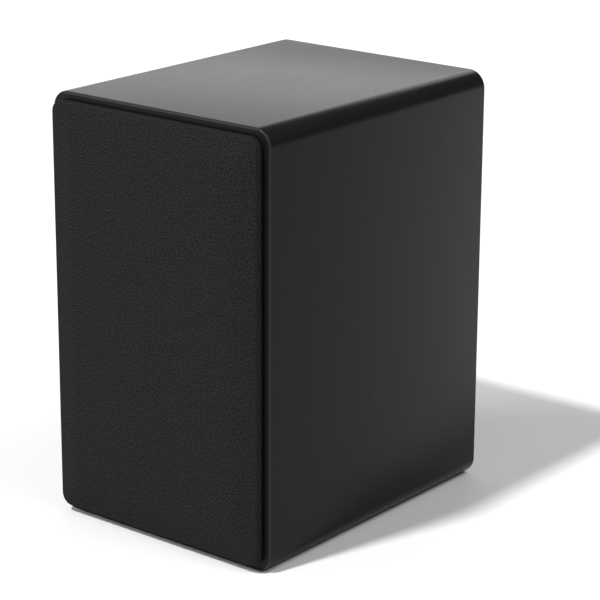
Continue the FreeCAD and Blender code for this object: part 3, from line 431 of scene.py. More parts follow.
def wound(name, pitch, colour, along="Y"):
    """Enamelled wire in close turns round an axis, each turn a ridge."""
    made = Finish(name, colour, 0.3, Metallic=0.9)
    turns = (made.place(along) * (2 * pi / pitch)).sine() * 0.5 + 0.5
    made.colour(made.noise(300, 2), [0.8 * c for c in colour], [min(1.15 * c, 1) for c in colour])
    made.feed("Roughness", 0.25 + 0.15 * turns).bump(turns, 0.4 * pitch, 0.9)
    return made


dress(wound("enamelled_copper_coil", 0.0009, copper_tone, "Z"), "woofer_inductor", "tweeter_inductor")
dress(plain("natural_nylon", (0.78, 0.76, 0.70), 0.5, 1500, 0.00003), "crossover_standoffs")
film_wrap = plain("yellow_film_wrap", (0.78, 0.52, 0.04), 0.28, 900, 0.00004, Coat_Weight=0.4)
dress(film_wrap, "film_capacitors")
can_sleeve = plain("blue_can_sleeve", (0.015, 0.03, 0.14), 0.25, 700, 0.00003, Coat_Weight=0.4)
dress(can_sleeve, "filter_capacitor")
dress(plain("white_ceramic", (0.74, 0.71, 0.64), 0.7, 1800, 0.00008), "power_resistors")

# ---- Woofer motor ----
# A ferrite ring glued between two zinc-plated steel plates. The coil hangs in the gap round
# the pole, on a thin aluminium former, and a pressed steel basket carries it all.
zinc = Finish("zinc_plated_steel", (0.60, 0.58, 0.50), 0.35, Metallic=0.9)
bloom = zinc.noise(60, 5)
zinc.colour(bloom, (0.52, 0.50, 0.42), (0.68, 0.64, 0.50))
zinc.feed("Roughness", 0.28 + 0.2 * bloom).bump(zinc.noise(2200, 1), 0.00002, 0.5)
dress(zinc, "woofer_top_plate", "woofer_back_plate", "tweeter_top_plate", "tweeter_back_plate")
ferrite = Finish("sintered_ferrite", (0.045, 0.045, 0.048), 0.62)
chips = ferrite.cells(700)
ferrite.colour(ferrite.noise(120, 4), (0.03, 0.03, 0.033), (0.065, 0.065, 0.07))
ferrite.bump(chips, 0.0001, 0.6)
dress(ferrite, "woofer_magnet", "tweeter_magnet")
foil = Finish("thin_aluminium", (0.78, 0.78, 0.80), 0.32, Metallic=1.0)
rolling = foil.noise(900, 2, foil.stretched((1, 0.05, 1)))
foil.colour(rolling, (0.70, 0.70, 0.72), (0.84, 0.84, 0.86)).bump(rolling, 0.00002, 0.4)
dress(foil, "woofer_coil_former")
dress(wound("voice_coil_copper", 0.00032, copper_tone), "woofer_voice_coil", "tweeter_voice_coil")

powder = Finish("black_powder_coat", (0.016, 0.016, 0.017), 0.45)
peel = powder.noise(900, 2)
powder.colour(powder.noise(60, 2), (0.013, 0.013, 0.014), (0.02, 0.02, 0.021))
powder.feed("Roughness", 0.4 + 0.15 * peel).bump(peel, 0.00006, 0.7)
dress(powder, "woofer_basket")

rubber = Finish("black_moulded_rubber", (0.012, 0.012, 0.012), 0.55, Specular_IOR_Level=0.4)
bloom = rubber.noise(90, 4)
rubber.colour(bloom, (0.010, 0.010, 0.010), (0.018, 0.018, 0.018))
rubber.feed("Roughness", 0.48 + 0.2 * bloom).bump(rubber.noise(2600, 1), 0.00002, 0.5)
dress(rubber, "woofer_gasket", "tweeter_gasket", "terminal_cup_gasket", "grille_sockets")

phenolic = Finish("phenolic_strip", (0.20, 0.09, 0.035), 0.5)
paper_grain = phenolic.noise(500, 3, phenolic.stretched((1, 1, 4)))
phenolic.colour(paper_grain, (0.15, 0.065, 0.025), (0.27, 0.13, 0.055))
phenolic.bump(paper_grain, 0.00004, 0.5)
dress(phenolic, "woofer_terminal_strip")
tinned = plain("tinned_brass", (0.70, 0.67, 0.60), 0.32, 900, 0.00002, Metallic=0.95)
dress(tinned, "tweeter_terminals", "solder_tabs")

# ---- Woofer cone, surround and spider ----
# A straight-sided cone of polypropylene filled with mica, with a glossy cap over the coil. A
# rubber half roll holds its rim to the basket, and an amber cloth spider holds its neck.
woofer_low, woofer_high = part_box("woofer_basket")
woofer_up, face_y = 0.5 * (woofer_low.z + woofer_high.z), shell_low.y
landing, roll_middle, roll_round, rubber_thick = 0.050, 0.042, 0.0038, 0.0007
cone_rim, lip_in, neck, neck_depth, ledge = 0.038, 0.0355, 0.01275, 0.0195, 0.002
cone_thick, cap_radius, cap_rise = 0.0008, 0.017, 0.006
cone_bow, bow_ends, cone_steps = 0.0007, 0.813, 12
spider_out, spider_ledge, spider_thick, spider_wave = 0.036, 0.024, 0.0005, 0.0012
cap_seat = ledge + (neck_depth - ledge) * (lip_in - cap_radius) / (lip_in - neck)


def eased(corners, steps=4):
    """The corners of a profile; one with a third value is rounded off by that distance."""
    points = []
    for index, corner in enumerate(corners):
        here = Vector(corner[:2])
        if len(corner) == 2:
            points.append(tuple(here))
            continue
        before = Vector(corners[index - 1][:2])
        after = Vector(corners[(index + 1) % len(corners)][:2])
        start = here + (before - here).normalized() * corner[2]
        end = here + (after - here).normalized() * corner[2]
        for step in range(steps + 1):
            share = step / steps
            bend = (1 - share) ** 2 * start + 2 * share * (1 - share) * here + share ** 2 * end
            points.append(tuple(bend))
    return points


def turned(points, across, along, up, sides=96):
    """A closed shape of revolution about a line along Y; the points are (radius, depth) pairs."""
    rings = []
    for radius, depth in points:
        rings.append([(
            across + radius * cos(2 * pi * side / sides), along + depth,
            up + radius * sin(2 * pi * side / sides)) for side in range(sides)])
    return skin(rings, closed=True)


def arc_points(centre_r, centre_d, radius, start, end, steps):
    """Points on an arc, with angles in degrees from the radius towards greater depth."""
    angles = [radians(start + (end - start) * step / steps) for step in range(steps + 1)]
    return [(centre_r + radius * cos(a), centre_d + radius * sin(a)) for a in angles]


def follow_out(made, node, moving, centre_up, inner, outer):
    """Shown for a CAD node: its inner edge follows a moving body and its outer edge stays."""
    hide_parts(node)
    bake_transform(made, "root", moving, (0, face_y, centre_up - outer), (0, face_y, centre_up - inner))
    weights = []
    for point in made.data.vertices:
        radius = hypot(point.co.x, point.co.z - centre_up)
        share = min(max((outer - radius) / (outer - inner), 0), 1)
        weights.append(share * share * (3 - 2 * share))
    made.data.attributes["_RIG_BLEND"].data.foreach_set("value", weights)


plastic = Finish("mica_filled_cone", (0.018, 0.018, 0.019), 0.42)
flecks = plastic.cells(1500).above(0.62, 0.1)
plastic.colour(flecks, (0.014, 0.014, 0.015), (0.05, 0.05, 0.054))
plastic.feed("Roughness", 0.46 - 0.2 * flecks)
plastic.bump(plastic.noise(800, 2), 0.00004, 0.5)
wall_points = []
for step in range(cone_steps + 1):
    share = step / cone_steps
    bow = cone_bow * sin(pi * min(share / bow_ends, 1))
    wall_points.append((
        lip_in + (neck - lip_in) * share, ledge + (neck_depth - ledge) * share + bow))
back_points = [(r + 0.45 * cone_thick, d + 0.75 * cone_thick) for r, d in wall_points[-2:0:-1]]
cone_section = [(cone_rim, ledge)] + wall_points + [(neck, neck_depth + 1.3 * cone_thick)]
cone_section += back_points + [(lip_in + 0.4 * cone_thick, ledge + cone_thick)]
cone_section += [(cone_rim, ledge + cone_thick)]
cone = piece(
    "woofer_cone_moulding", turned(cone_section, 0, face_y, woofer_up, 128), plastic, 30)
stand_for(cone, "woofer_moving", "cone", "woofer_cone")

gloss = Finish(
    "glossy_cap", (0.010, 0.010, 0.011), 0.22, Coat_Weight=0.2)
gloss.colour(gloss.noise(70, 3), (0.008, 0.008, 0.009), (0.014, 0.014, 0.015))
gloss.feed("Roughness", 0.2 + 0.08 * gloss.noise(250, 3)).bump(gloss.noise(500, 2), 0.00002, 0.3)


def dome(radius, rise, thick, seat, steps=16):
    """Half the section of a thin dome that bulges to the front from its seat."""
    bulge = (radius ** 2 + rise ** 2) / (2 * rise)
    spread = asin(radius / bulge)
    outer, inner = [], []
    for step in range(steps + 1):
        angle = spread * step / steps
        level = seat - rise + bulge * (1 - cos(angle))
        outer.append((bulge * sin(angle), level - thick))
        inner.append(((bulge - thick) * sin(angle), level))
    return outer + inner[::-1]


cap = piece("woofer_cap_moulding", turned(
    dome(cap_radius, cap_rise, cone_thick, cap_seat), 0, face_y, woofer_up), gloss, 40)
stand_for(cap, "woofer_moving", "dust_cap", "woofer_dust_cap")

front = ledge - rubber_thick
inner_round = roll_round - rubber_thick
roll_section = [(lip_in, front)] + arc_points(roll_middle, front, roll_round, 180, 360, 24)
roll_section += [(landing, front), (landing, ledge), (roll_middle + inner_round, ledge)]
roll_section += arc_points(roll_middle, front, inner_round, 360, 180, 20)
roll_section += [(roll_middle - inner_round, ledge), (lip_in, ledge)]
surround = piece("woofer_surround_roll", turned(roll_section, 0, face_y, woofer_up, 128), rubber, 40)
follow_out(
    surround, "woofer_surround", "woofer_moving", woofer_up, cone_rim,
    roll_middle + roll_round)

amber = Finish("amber_spider_cloth", (0.48, 0.30, 0.08), 0.8)
warp = (amber.place("X") * 9000).sine() * (amber.place("Z") * 9000).sine() * 0.5 + 0.5
amber.colour(amber.noise(200, 3), (0.38, 0.22, 0.05), (0.56, 0.37, 0.12)).bump(warp, 0.0001, 0.7)
waves, flat, spider_steps = 5, 0.003, 80
upper, under = [], []
for step in range(spider_steps + 1):
    share = step / spider_steps
    radius = neck + flat + (spider_out - neck - 2 * flat) * share
    swing = 0.5 - 0.5 * cos(2 * pi * waves * share)
    level = spider_ledge - spider_thick - spider_wave * swing
    upper.append((radius, level))
    under.append((radius, level + spider_thick))
spider_front = spider_ledge - spider_thick
spider_section = [(neck, spider_front)] + upper + [(spider_out, spider_front)]
spider_section += [(spider_out, spider_ledge)] + under[::-1] + [(neck, spider_ledge)]
spider = piece("woofer_spider_disc", turned(spider_section, 0, face_y, woofer_up), amber, 60)
follow_out(
    spider, "woofer_spider", "woofer_moving", woofer_up, neck + flat,
    spider_out - flat)

# ---- Woofer leads and inside wiring ----
# Braided copper tinsel runs from the strip to the cone's back, slack enough for its travel.
# Insulated stranded pairs run from the rear tabs to the board and from it to both drivers.


def run_of_wire(points, radius, reach):
    """A round wire on a smooth line, which leaves each corner of its route within reach."""
    stops = [points[0]]
    for before, here, after in zip(points, points[1:], points[2:]):
        here = Vector(here)
        stops += [here + (Vector(before) - here).normalized() * reach, here]
        stops.append(here + (Vector(after) - here).normalized() * reach)
    stops.append(points[-1])
    curve = bpy.data.curves.new("wire", "CURVE")
    curve.dimensions, curve.bevel_depth, curve.bevel_resolution = "3D", radius, 4
    curve.use_fill_caps, curve.resolution_u = True, 6
    spline = curve.splines.new("NURBS")
    spline.points.add(len(stops) - 1)
    for place, stop in zip(spline.points, stops):
        place.co = (*stop, 1)
    spline.order_u, spline.use_endpoint_u = 3, True
    holder = placed("wire", curve)
    graph = bpy.context.evaluated_depsgraph_get()
    made = bpy.data.meshes.new_from_object(holder.evaluated_get(graph))
    bpy.data.objects.remove(holder)
    return made


def pair_of_wires(name, routes, radius, reach, finish):
    """Two wires as one piece."""
    both = bmesh.new()
    both.verts.layers.float.new("core")
    for number, route in enumerate(routes):
        before = len(both.verts)
        both.from_mesh(run_of_wire(route, radius, reach))
        core = both.verts.layers.float["core"]
        for vertex in list(both.verts)[before:]:
            vertex[core] = number
    bmesh.ops.recalc_face_normals(both, faces=both.faces)
    return piece(name, both, finish, 60)


tinsel = Finish("copper_tinsel", (0.70, 0.33, 0.16), 0.38, Metallic=0.9)
braid = (tinsel.place("X") * 8000 + tinsel.place("Z") * 8000).sine() * 0.5 + 0.5
tinsel.colour(braid, (0.45, 0.2, 0.09), (0.80, 0.42, 0.22)).bump(braid, 0.0001, 0.8)
strip_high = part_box("woofer_terminal_strip")[1]
lead_low, lead_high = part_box("woofer_tinsel_leads")
blade_pitch, lead_radius, wire_radius = 0.008, 0.0006, 0.0011
lead_inset, cone_eyelet, lead_forward, moves_at, still_at = 0.0009, 0.0215, 0.0045, 0.022, 0.040
far_x, front_y = lead_high.x - lead_inset, face_y + spider_ledge - lead_forward
routes = []
for side in (-1, 1):
    z = woofer_up + side * blade_pitch / 2
    routes.append([
        (far_x, lead_high.y, z), (far_x, front_y, z), (cone_eyelet, front_y, z),
        (cone_eyelet, lead_low.y, z)])
leads = pair_of_wires("woofer_tinsel_braids", routes, lead_radius, 0.003, tinsel)
follow_out(
    leads, "woofer_tinsel_leads", "woofer_moving", woofer_up, moves_at, still_at)

sleeve = Finish("red_and_black_insulation", (0.3, 0.012, 0.012), 0.4, Coat_Weight=0.1)
core = sleeve.node("Attribute", {"attribute_name": "core"}, {}, "Fac")
redness = core * (0.85 + 0.15 * sleeve.noise(40, 1))
sleeve.colour(redness, (0.012, 0.012, 0.012), (0.36, 0.013, 0.012))
sleeve.bump(sleeve.noise(900, 1), 0.00003, 0.4)
board_low, board_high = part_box("crossover_board")
cup_low, cup_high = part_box("terminal_cup")
tabs_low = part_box("solder_tabs")[0]
blades_low, blades_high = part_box("tweeter_terminals")
wire_top, gap = board_high.z + 0.0001, 0.0001
post_pitch, wire_pitch, side_inset, side_along = 0.019, 0.005, 0.004, 0.028
input_lift, input_inset, woofer_bend, woofer_lead = 0.010, 0.007, 0.012, 0.016
tweeter_bend, tweeter_lead, blade_inset = 0.030, 0.024, 0.004
tab_y, tab_z = tabs_low.y - wire_radius - gap, 0.052
end_y = board_high.y - input_inset
side_x, side_y = board_high.x - side_inset, board_low.y + side_along
input_routes, woofer_routes, tweeter_routes = [], [], []
for side in (-1, 1):
    x, y, z = side * post_pitch / 2, side_y + side * wire_pitch / 2, side * blade_pitch / 2
    input_routes.append([
        (x, tab_y, tab_z), (x, tab_y, wire_top + input_lift), (x, end_y, wire_top + input_lift),
        (x, end_y, wire_top)])
    blade_x, blade_y, level = strip_high.x - blade_inset, strip_high.y + gap, woofer_up + z
    woofer_routes.append([
        (side_x, y, wire_top), (side_x, y, level - woofer_bend),
        (blade_x, blade_y + woofer_lead, level), (blade_x, blade_y, level)])
    lug_x, lug_y = 0.5 * (blades_low.x + blades_high.x), blades_high.y + gap
    level = 0.5 * (blades_low.z + blades_high.z) + z
    tweeter_routes.append([
        (-side_x, y, wire_top), (-side_x, y, level - tweeter_bend),
        (lug_x, lug_y + tweeter_lead, level), (lug_x, lug_y, level)])
for node, routes in (("input_wires", input_routes), ("woofer_wires", woofer_routes),
                     ("tweeter_wires", tweeter_routes)):
    wires = pair_of_wires(node + "_pair", routes, wire_radius, 0.005, sleeve)
    stand_for(wires, "root", "wire_cover", node)

# ---- Tweeter ----
# A coated silk dome with its edge roll, in a moulded faceplate that flares like a short horn.
# The faceplate is let in flush with the baffle and held by four black screws.
tweeter_low, tweeter_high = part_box("tweeter_faceplate")
tweeter_up = 0.5 * (tweeter_low.z + tweeter_high.z)
dome_radius, dome_rise, dome_edge, dome_thick = 0.0126, 0.004, 0.0046, 0.0003
throat, edge_flat, edge_chord, silk_thick = 0.0164, 0.0002, 0.00168, 0.0003
edge_seat, hub_wide, edge_fit, roll_steps, roll_rise = 0.0007, 0.0035, 0.0001, 12, 0.0008
satin = Finish("satin_moulded_faceplate", (0.014, 0.014, 0.015), 0.42)
spark = satin.noise(3000, 2)
satin.colour(satin.noise(80, 2), (0.012, 0.012, 0.013), (0.017, 0.017, 0.018))
satin.feed("Roughness", 0.38 + 0.14 * spark).bump(spark, 0.00003, 0.6)
dress(satin, "tweeter_faceplate")

silk = Finish(
    "coated_silk", (0.014, 0.014, 0.016), 0.5, Sheen_Weight=0.3, Specular_IOR_Level=0.4)
threads = (silk.place("X") * 16000).sine() * (silk.place("Z") * 16000).sine() * 0.5 + 0.5
silk.colour(silk.noise(400, 3), (0.011, 0.011, 0.013), (0.020, 0.020, 0.023))
silk.feed("Roughness", 0.42 + 0.2 * threads).bump(threads, 0.00004, 0.6)
silk_dome = piece("tweeter_silk_dome", turned(
    dome(dome_radius, dome_rise, dome_thick, dome_edge), 0, face_y, tweeter_up), silk, 40)
stand_for(silk_dome, "tweeter_moving", "silk", "tweeter_dome")

front = dome_edge - silk_thick
roll_in = dome_radius + edge_flat
clamp = throat + hub_wide - edge_fit
roll = [(
    roll_in + edge_chord * (0.5 - 0.5 * cos(pi * step / roll_steps)),
    -roll_rise * sin(pi * step / roll_steps)) for step in range(roll_steps + 1)]
section = [(dome_radius, dome_edge), (dome_radius, front)] + [(r, front + d) for r, d in roll]
section += [(throat - edge_fit, front), (throat - edge_fit, dome_edge), (clamp, dome_edge)]
section += [(clamp, dome_edge + edge_seat), (throat - silk_thick, dome_edge + edge_seat)]
section += [(throat - silk_thick, dome_edge)] + [(r, dome_edge + 0.8 * d) for r, d in roll[::-1]]
edge = piece("tweeter_edge_roll", turned(section, 0, face_y, tweeter_up), silk, 50)
follow_out(
    edge, "tweeter_surround", "tweeter_moving", tweeter_up, dome_radius,
    roll_in + edge_chord)

# ---- Screws ----
# Cap-head screws with hexagon keys: black ones hold both drivers and the terminal cup, and
# bright pan heads hold the crossover. Each set is one head, repeated.


def screw_unit(head_radius, head_high, shank_radius, length, key_flats, key_deep):
    """A screw along +Y with the top of its head at the origin, and a hexagon key in it."""
    sides, sixth = 24, pi / 6
    key_corner = key_flats / sqrt(3)

    def ring(radius, depth, hexagonal=False):
        points = []
        for side in range(sides):
            angle = 2 * pi * side / sides
            reach = radius
            if hexagonal:
                from_flat = (angle + sixth) % (2 * sixth) - sixth
                reach = radius * cos(sixth) / cos(from_flat)
            points.append((reach * cos(angle), depth, reach * sin(angle)))
        return points

    key_mouth = ((0.98, key_deep), (1, 0.0001), (1.06, 0))
    head_edge = ((0.0005, 0), (0.0001, 0.0002), (0, 0.0006), (0, head_high))
    point_long, point_share = 0.001, 0.3
    rings = [ring(key_corner * share, depth, True) for share, depth in key_mouth]
    rings += [ring(head_radius - inset, depth) for inset, depth in head_edge]
    rings += [ring(shank_radius, head_high), ring(shank_radius, length - point_long)]
    return skin(rings + [ring(point_share * shank_radius, length)])


def socket(group, kind, name):
    """A named input of a node group."""
    return group.interface.new_socket(name=name, in_out="INPUT", socket_type="NodeSocket" + kind)


class Layout:
    """A geometry tree that sets a unit at places worked out from named sizes."""

    def __init__(self, name, sizes):
        self.group = bpy.data.node_groups.new(name, "GeometryNodeTree")
        self.keys = {}
        for size, kind in [*sizes, ("Count", "Int"), ("Unit", "Object"), ("Finish", "Material")]:
            self.keys[size] = socket(self.group, kind, size).identifier
        self.group.interface.new_socket(
            name="Geometry", in_out="OUTPUT", socket_type="NodeSocketGeometry")
        self.given = self.group.nodes.new("NodeGroupInput")

    def add(self, kind, output=0, inputs=(), **settings):
        node = self.group.nodes.new(kind)
        for name, value in settings.items():
            setattr(node, name, value)
        for place, value in dict(inputs).items():
            if isinstance(value, bpy.types.NodeSocket):
                self.group.links.new(value, node.inputs[place])
            else:
                node.inputs[place].default_value = value
        return node.outputs[output]

    def math(self, operation, *values):
        return self.add("ShaderNodeMath", inputs=dict(enumerate(values)), operation=operation)

    def finish(self, position, rotation):
        """Points, with the unit on each, as one plain mesh."""
        points = self.add("GeometryNodePoints", inputs={
            "Count": self.given.outputs["Count"], "Position": position})
        unit = self.add("GeometryNodeObjectInfo", "Geometry", {"Object": self.given.outputs["Unit"]})
        set_out = self.add("GeometryNodeInstanceOnPoints", inputs={
            "Points": points, "Instance": unit, "Rotation": rotation})
        solid = self.add("GeometryNodeRealizeInstances", inputs={0: set_out})
        joined = self.add("GeometryNodeMergeByDistance", inputs={0: solid, "Distance": 0.000002})
        dressed = self.add("GeometryNodeSetMaterial", inputs={
            0: joined, "Material": self.given.outputs["Finish"]})
        end = self.group.nodes.new("NodeGroupOutput")
        self.group.links.new(dressed, end.inputs[0])


in_ring = Layout("units_in_a_ring", [("Radius", "Float"), ("First turn", "Float")])
place = in_ring.add("GeometryNodeInputIndex")
step = in_ring.math("DIVIDE", 2 * pi, in_ring.given.outputs["Count"])
turn = in_ring.math("MULTIPLY_ADD", place, step, in_ring.given.outputs["First turn"])
out = in_ring.given.outputs["Radius"]
in_ring.finish(
    in_ring.add("ShaderNodeCombineXYZ", inputs={
        0: in_ring.math("MULTIPLY", out, in_ring.math("COSINE", turn)),
        2: in_ring.math("MULTIPLY", out, in_ring.math("SINE", turn))}),
    in_ring.add("ShaderNodeCombineXYZ", inputs={1: in_ring.math("MULTIPLY", turn, -1.0)}))

at_corners = Layout("units_at_four_corners", [("Half width", "Float"), ("Half height", "Float")])
place, key_turn = at_corners.add("GeometryNodeInputIndex"), 0.7
odd = at_corners.math("MULTIPLY_ADD", at_corners.math("MODULO", place, 2.0), 2.0, -1.0)
past_second = at_corners.math("GREATER_THAN", place, 1.5)
late = at_corners.math("MULTIPLY_ADD", past_second, 2.0, -1.0)
at_corners.finish(
    at_corners.add("ShaderNodeCombineXYZ", inputs={
        0: at_corners.math("MULTIPLY", odd, at_corners.given.outputs["Half width"]),
        2: at_corners.math("MULTIPLY", late, at_corners.given.outputs["Half height"])}),
    at_corners.add("ShaderNodeCombineXYZ", inputs={
        1: at_corners.math("MULTIPLY", place, key_turn)}))


def repeated(layout, unit_mesh, finish, centre, tip=None, **sizes):
    """The unit set out by a layout, as a plain mesh moved to its centre."""
    unit = piece("unit", unit_mesh, finish)
    holder = placed("holder", bpy.data.meshes.new("holder"))
    modifier = holder.modifiers.new("layout", "NODES")
    modifier.node_group = layout.group
    for name, value in sizes.items():
        modifier[layout.keys[name.replace("_", " ")]] = value
    modifier[layout.keys["Unit"]], modifier[layout.keys["Finish"]] = unit, finish.material
    bpy.context.view_layer.update()
    graph = bpy.context.evaluated_depsgraph_get()
    made = bpy.data.meshes.new_from_object(holder.evaluated_get(graph))
    holder.modifiers.remove(modifier)
    bpy.data.objects.remove(holder)
    bpy.data.objects.remove(unit)
    made.transform(Matrix.Translation(centre) @ (tip or Matrix.Identity(4)))
    return made


oxide = Finish("black_oxide_steel", (0.025, 0.025, 0.027), 0.38, Metallic=0.85)
handled = oxide.noise(700, 3)
oxide.colour(handled, (0.018, 0.018, 0.02), (0.04, 0.04, 0.043))
oxide.feed("Roughness", 0.3 + 0.2 * handled).bump(handled, 0.00002, 0.4)
key_flats, key_deep, head_high, eighth_turn = 0.0025, 0.0015, 0.0022, radians(45)
woofer_head, woofer_shank, woofer_ring = 0.0036, 0.0019, 0.054
tweeter_head, cup_head, small_shank, tweeter_ring = 0.0027, 0.0028, 0.0015, 0.0322
long_screw, short_screw, cup_half_wide, cup_half_high = 0.016, 0.013, 0.0375, 0.0275


def screw_set(name, nodes, slot, finish, layout, unit, centre, tip=None, **sizes):
    """Four equal screws set out by a layout, as one piece in place of the CAD's."""
    mesh = repeated(layout, unit, finish, centre, tip, Count=4, **sizes)
    stand_for(piece(name, mesh, finish, 40), "root", slot, nodes)


screw_set(
    "woofer_cap_screws", "woofer_screws", "black_screws", oxide, in_ring,
    screw_unit(woofer_head, head_high, woofer_shank, long_screw, key_flats, key_deep),
    (0, face_y, woofer_up), Radius=woofer_ring, First_turn=eighth_turn)
screw_set(
    "tweeter_cap_screws", "tweeter_screws", "black_screws", oxide, in_ring,
    screw_unit(tweeter_head, head_high, small_shank, short_screw, key_flats, key_deep),
    (0, face_y, tweeter_up), Radius=tweeter_ring, First_turn=eighth_turn)
about_face = Matrix.Rotation(pi, 4, "Z")
cup_up = 0.5 * (cup_low.z + cup_high.z)
screw_set(
    "terminal_cup_cap_screws", "terminal_cup_screws", "black_screws", oxide, at_corners,
    screw_unit(cup_head, head_high, small_shank, short_screw, key_flats, key_deep),
    (0, cup_high.y, cup_up), about_face, Half_width=cup_half_wide, Half_height=cup_half_high)
bright = plain("bright_zinc_screw", (0.70, 0.70, 0.72), 0.3, 1200, 0.00002, Metallic=0.95)
heads_low, heads_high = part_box("crossover_screws")
board_mid = (0, 0.5 * (board_low.y + board_high.y), heads_high.z)
lying = Matrix.Rotation(radians(-90), 4, "X")
pan_high, pan_key_flats, pan_key_deep, board_half_wide, board_half_deep = (
    0.002, 0.002, 0.0008, 0.043, 0.035)
screw_set(
    "crossover_pan_screws", "crossover_screws", "bright_screws", bright, at_corners,
    screw_unit(
        cup_head, pan_high, small_shank, heads_high.z - heads_low.z, pan_key_flats, pan_key_deep),
    board_mid, lying, Half_width=board_half_wide, Half_height=board_half_deep)

# ---- Bass port ----
# A flared bezel of finely textured plastic, glued flush into the rear panel, and a plain
# extruded tube pushed into the socket behind it.
flare_low, flare_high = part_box("port_flare")
port_up, port_y = 0.5 * (flare_low.z + flare_high.z), flare_high.y
port_radius, port_wall, flare_round, port_flange = 0.017, 0.002, 0.009, 0.029
port_neck, port_socket, socket_wall, flange_thick = 0.003, 0.008, 0.0025, 0.003
flange_edge, tube_edge = 0.0006, 0.0005
textured = Finish(
    "textured_black_plastic", (0.014, 0.014, 0.0145), 0.55, Specular_IOR_Level=0.45)
spark = textured.noise(2200, 3)
textured.colour(textured.noise(90, 2), (0.012, 0.012, 0.0125), (0.017, 0.017, 0.0175))
textured.feed("Roughness", 0.48 + 0.16 * spark).bump(spark, 0.00006, 0.8)
socket_out = port_radius + port_wall + socket_wall
flare_section = arc_points(port_radius + flare_round, -flare_round, flare_round, 90, 180, 16)
neck_end = -flare_round - port_neck
flare_section += [(port_radius, neck_end), (port_radius + port_wall, neck_end)]
flare_section += [(port_radius + port_wall, neck_end - port_socket)]
flare_section += [(socket_out, neck_end - port_socket), (socket_out, -flange_thick)]
flare_section += eased([
    (port_flange, -flange_thick), (port_flange, 0, flange_edge), (port_radius + flare_round, 0)])[:-1]
flare = piece("port_flare_bezel", turned(flare_section, 0, port_y, port_up, 128), textured, 35)
stand_for(flare, "root", "port_plastic", "port_flare")
tube_low, tube_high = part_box("port_tube")
tube_wall = eased([
    (port_radius, tube_high.y), (port_radius, tube_low.y, tube_edge),
    (port_radius + port_wall, tube_low.y, tube_edge), (port_radius + port_wall, tube_high.y)])
tube_piece = piece("port_tube_extrusion", turned(tube_wall, 0, 0, port_up), textured, 35)
stand_for(tube_piece, "root", "port_board", "port_tube")

# ---- Rear terminals ----
# A recessed cup of textured plastic with two gold-plated binding posts. Each post has a
# coloured ring, a loose clamp washer and a grooved knob with a 4 mm socket in its end.
dress(textured, "terminal_cup")
gold = Finish("gold_plated_brass", (0.83, 0.58, 0.22), 0.2, Metallic=1.0)
worn = gold.noise(160, 4)
gold.colour(worn, (0.76, 0.52, 0.20), (0.90, 0.66, 0.28))
gold.feed("Roughness", 0.14 + 0.16 * worn).bump(gold.noise(1500, 1), 0.00001, 0.4)
dress(gold, "black_post_stud", "red_post_stud", "post_nuts")
knob_radius, stud_fit, knob_collar, groove_round, grooves = 0.007, 0.00305, 0.002, 0.0009, 18
groove_bite, groove_full, groove_end, collar_top = 0.8, 0.0024, 0.00201, 0.0019
end_round, end_soft, foot_round, knob_inside, knob_steps = 0.0009, 0.0003, 0.0004, 0.006, 8
ring_bore, washer_radius, bore_edge, washer_edge = 0.003, 0.0055, 0.0001, 0.0002


def knob_sector(length):
    """One of the knob's equal sectors: bore, rounded end, collar and half a groove each side."""
    half = pi / grooves

    def reach(angle, depth):
        if depth < knob_collar:
            return knob_radius
        aside = knob_radius * angle
        return knob_radius - max(groove_round ** 2 - aside ** 2, 0) ** 0.5 * groove_bite

    rows = [("bore", 0.0), ("bore", length), ("lip", length), ("round", length - end_soft)]
    rows += [("side", length - end_round), ("side", groove_full), ("side", groove_end)]
    rows += [("collar", collar_top), ("collar", foot_round), ("foot", 0.0)]
    mesh = bmesh.new()
    grid = []
    for kind, depth in rows:
        line = []
        for part in range(knob_steps + 1):
            angle = -half + 2 * half * part / knob_steps
            full = reach(angle, depth)
            radius = {
                "bore": stud_fit, "lip": full - end_round, "round": full - end_soft, "side": full,
                "collar": knob_radius, "foot": knob_radius - foot_round}[kind]
            line.append(mesh.verts.new((radius * cos(angle), depth, radius * sin(angle))))
        grid.append(line)
    for near, far in zip(grid, grid[1:] + grid[:1]):
        for part in range(knob_steps):
            mesh.faces.new((near[part], near[part + 1], far[part + 1], far[part]))
    bmesh.ops.recalc_face_normals(mesh, faces=mesh.faces)
    outside = [face for face in mesh.faces if face.calc_center_median().x > knob_inside]
    if sum(face.normal.dot(face.calc_center_median()) for face in outside) < 0:
        bmesh.ops.reverse_faces(mesh, faces=mesh.faces)
    return mesh


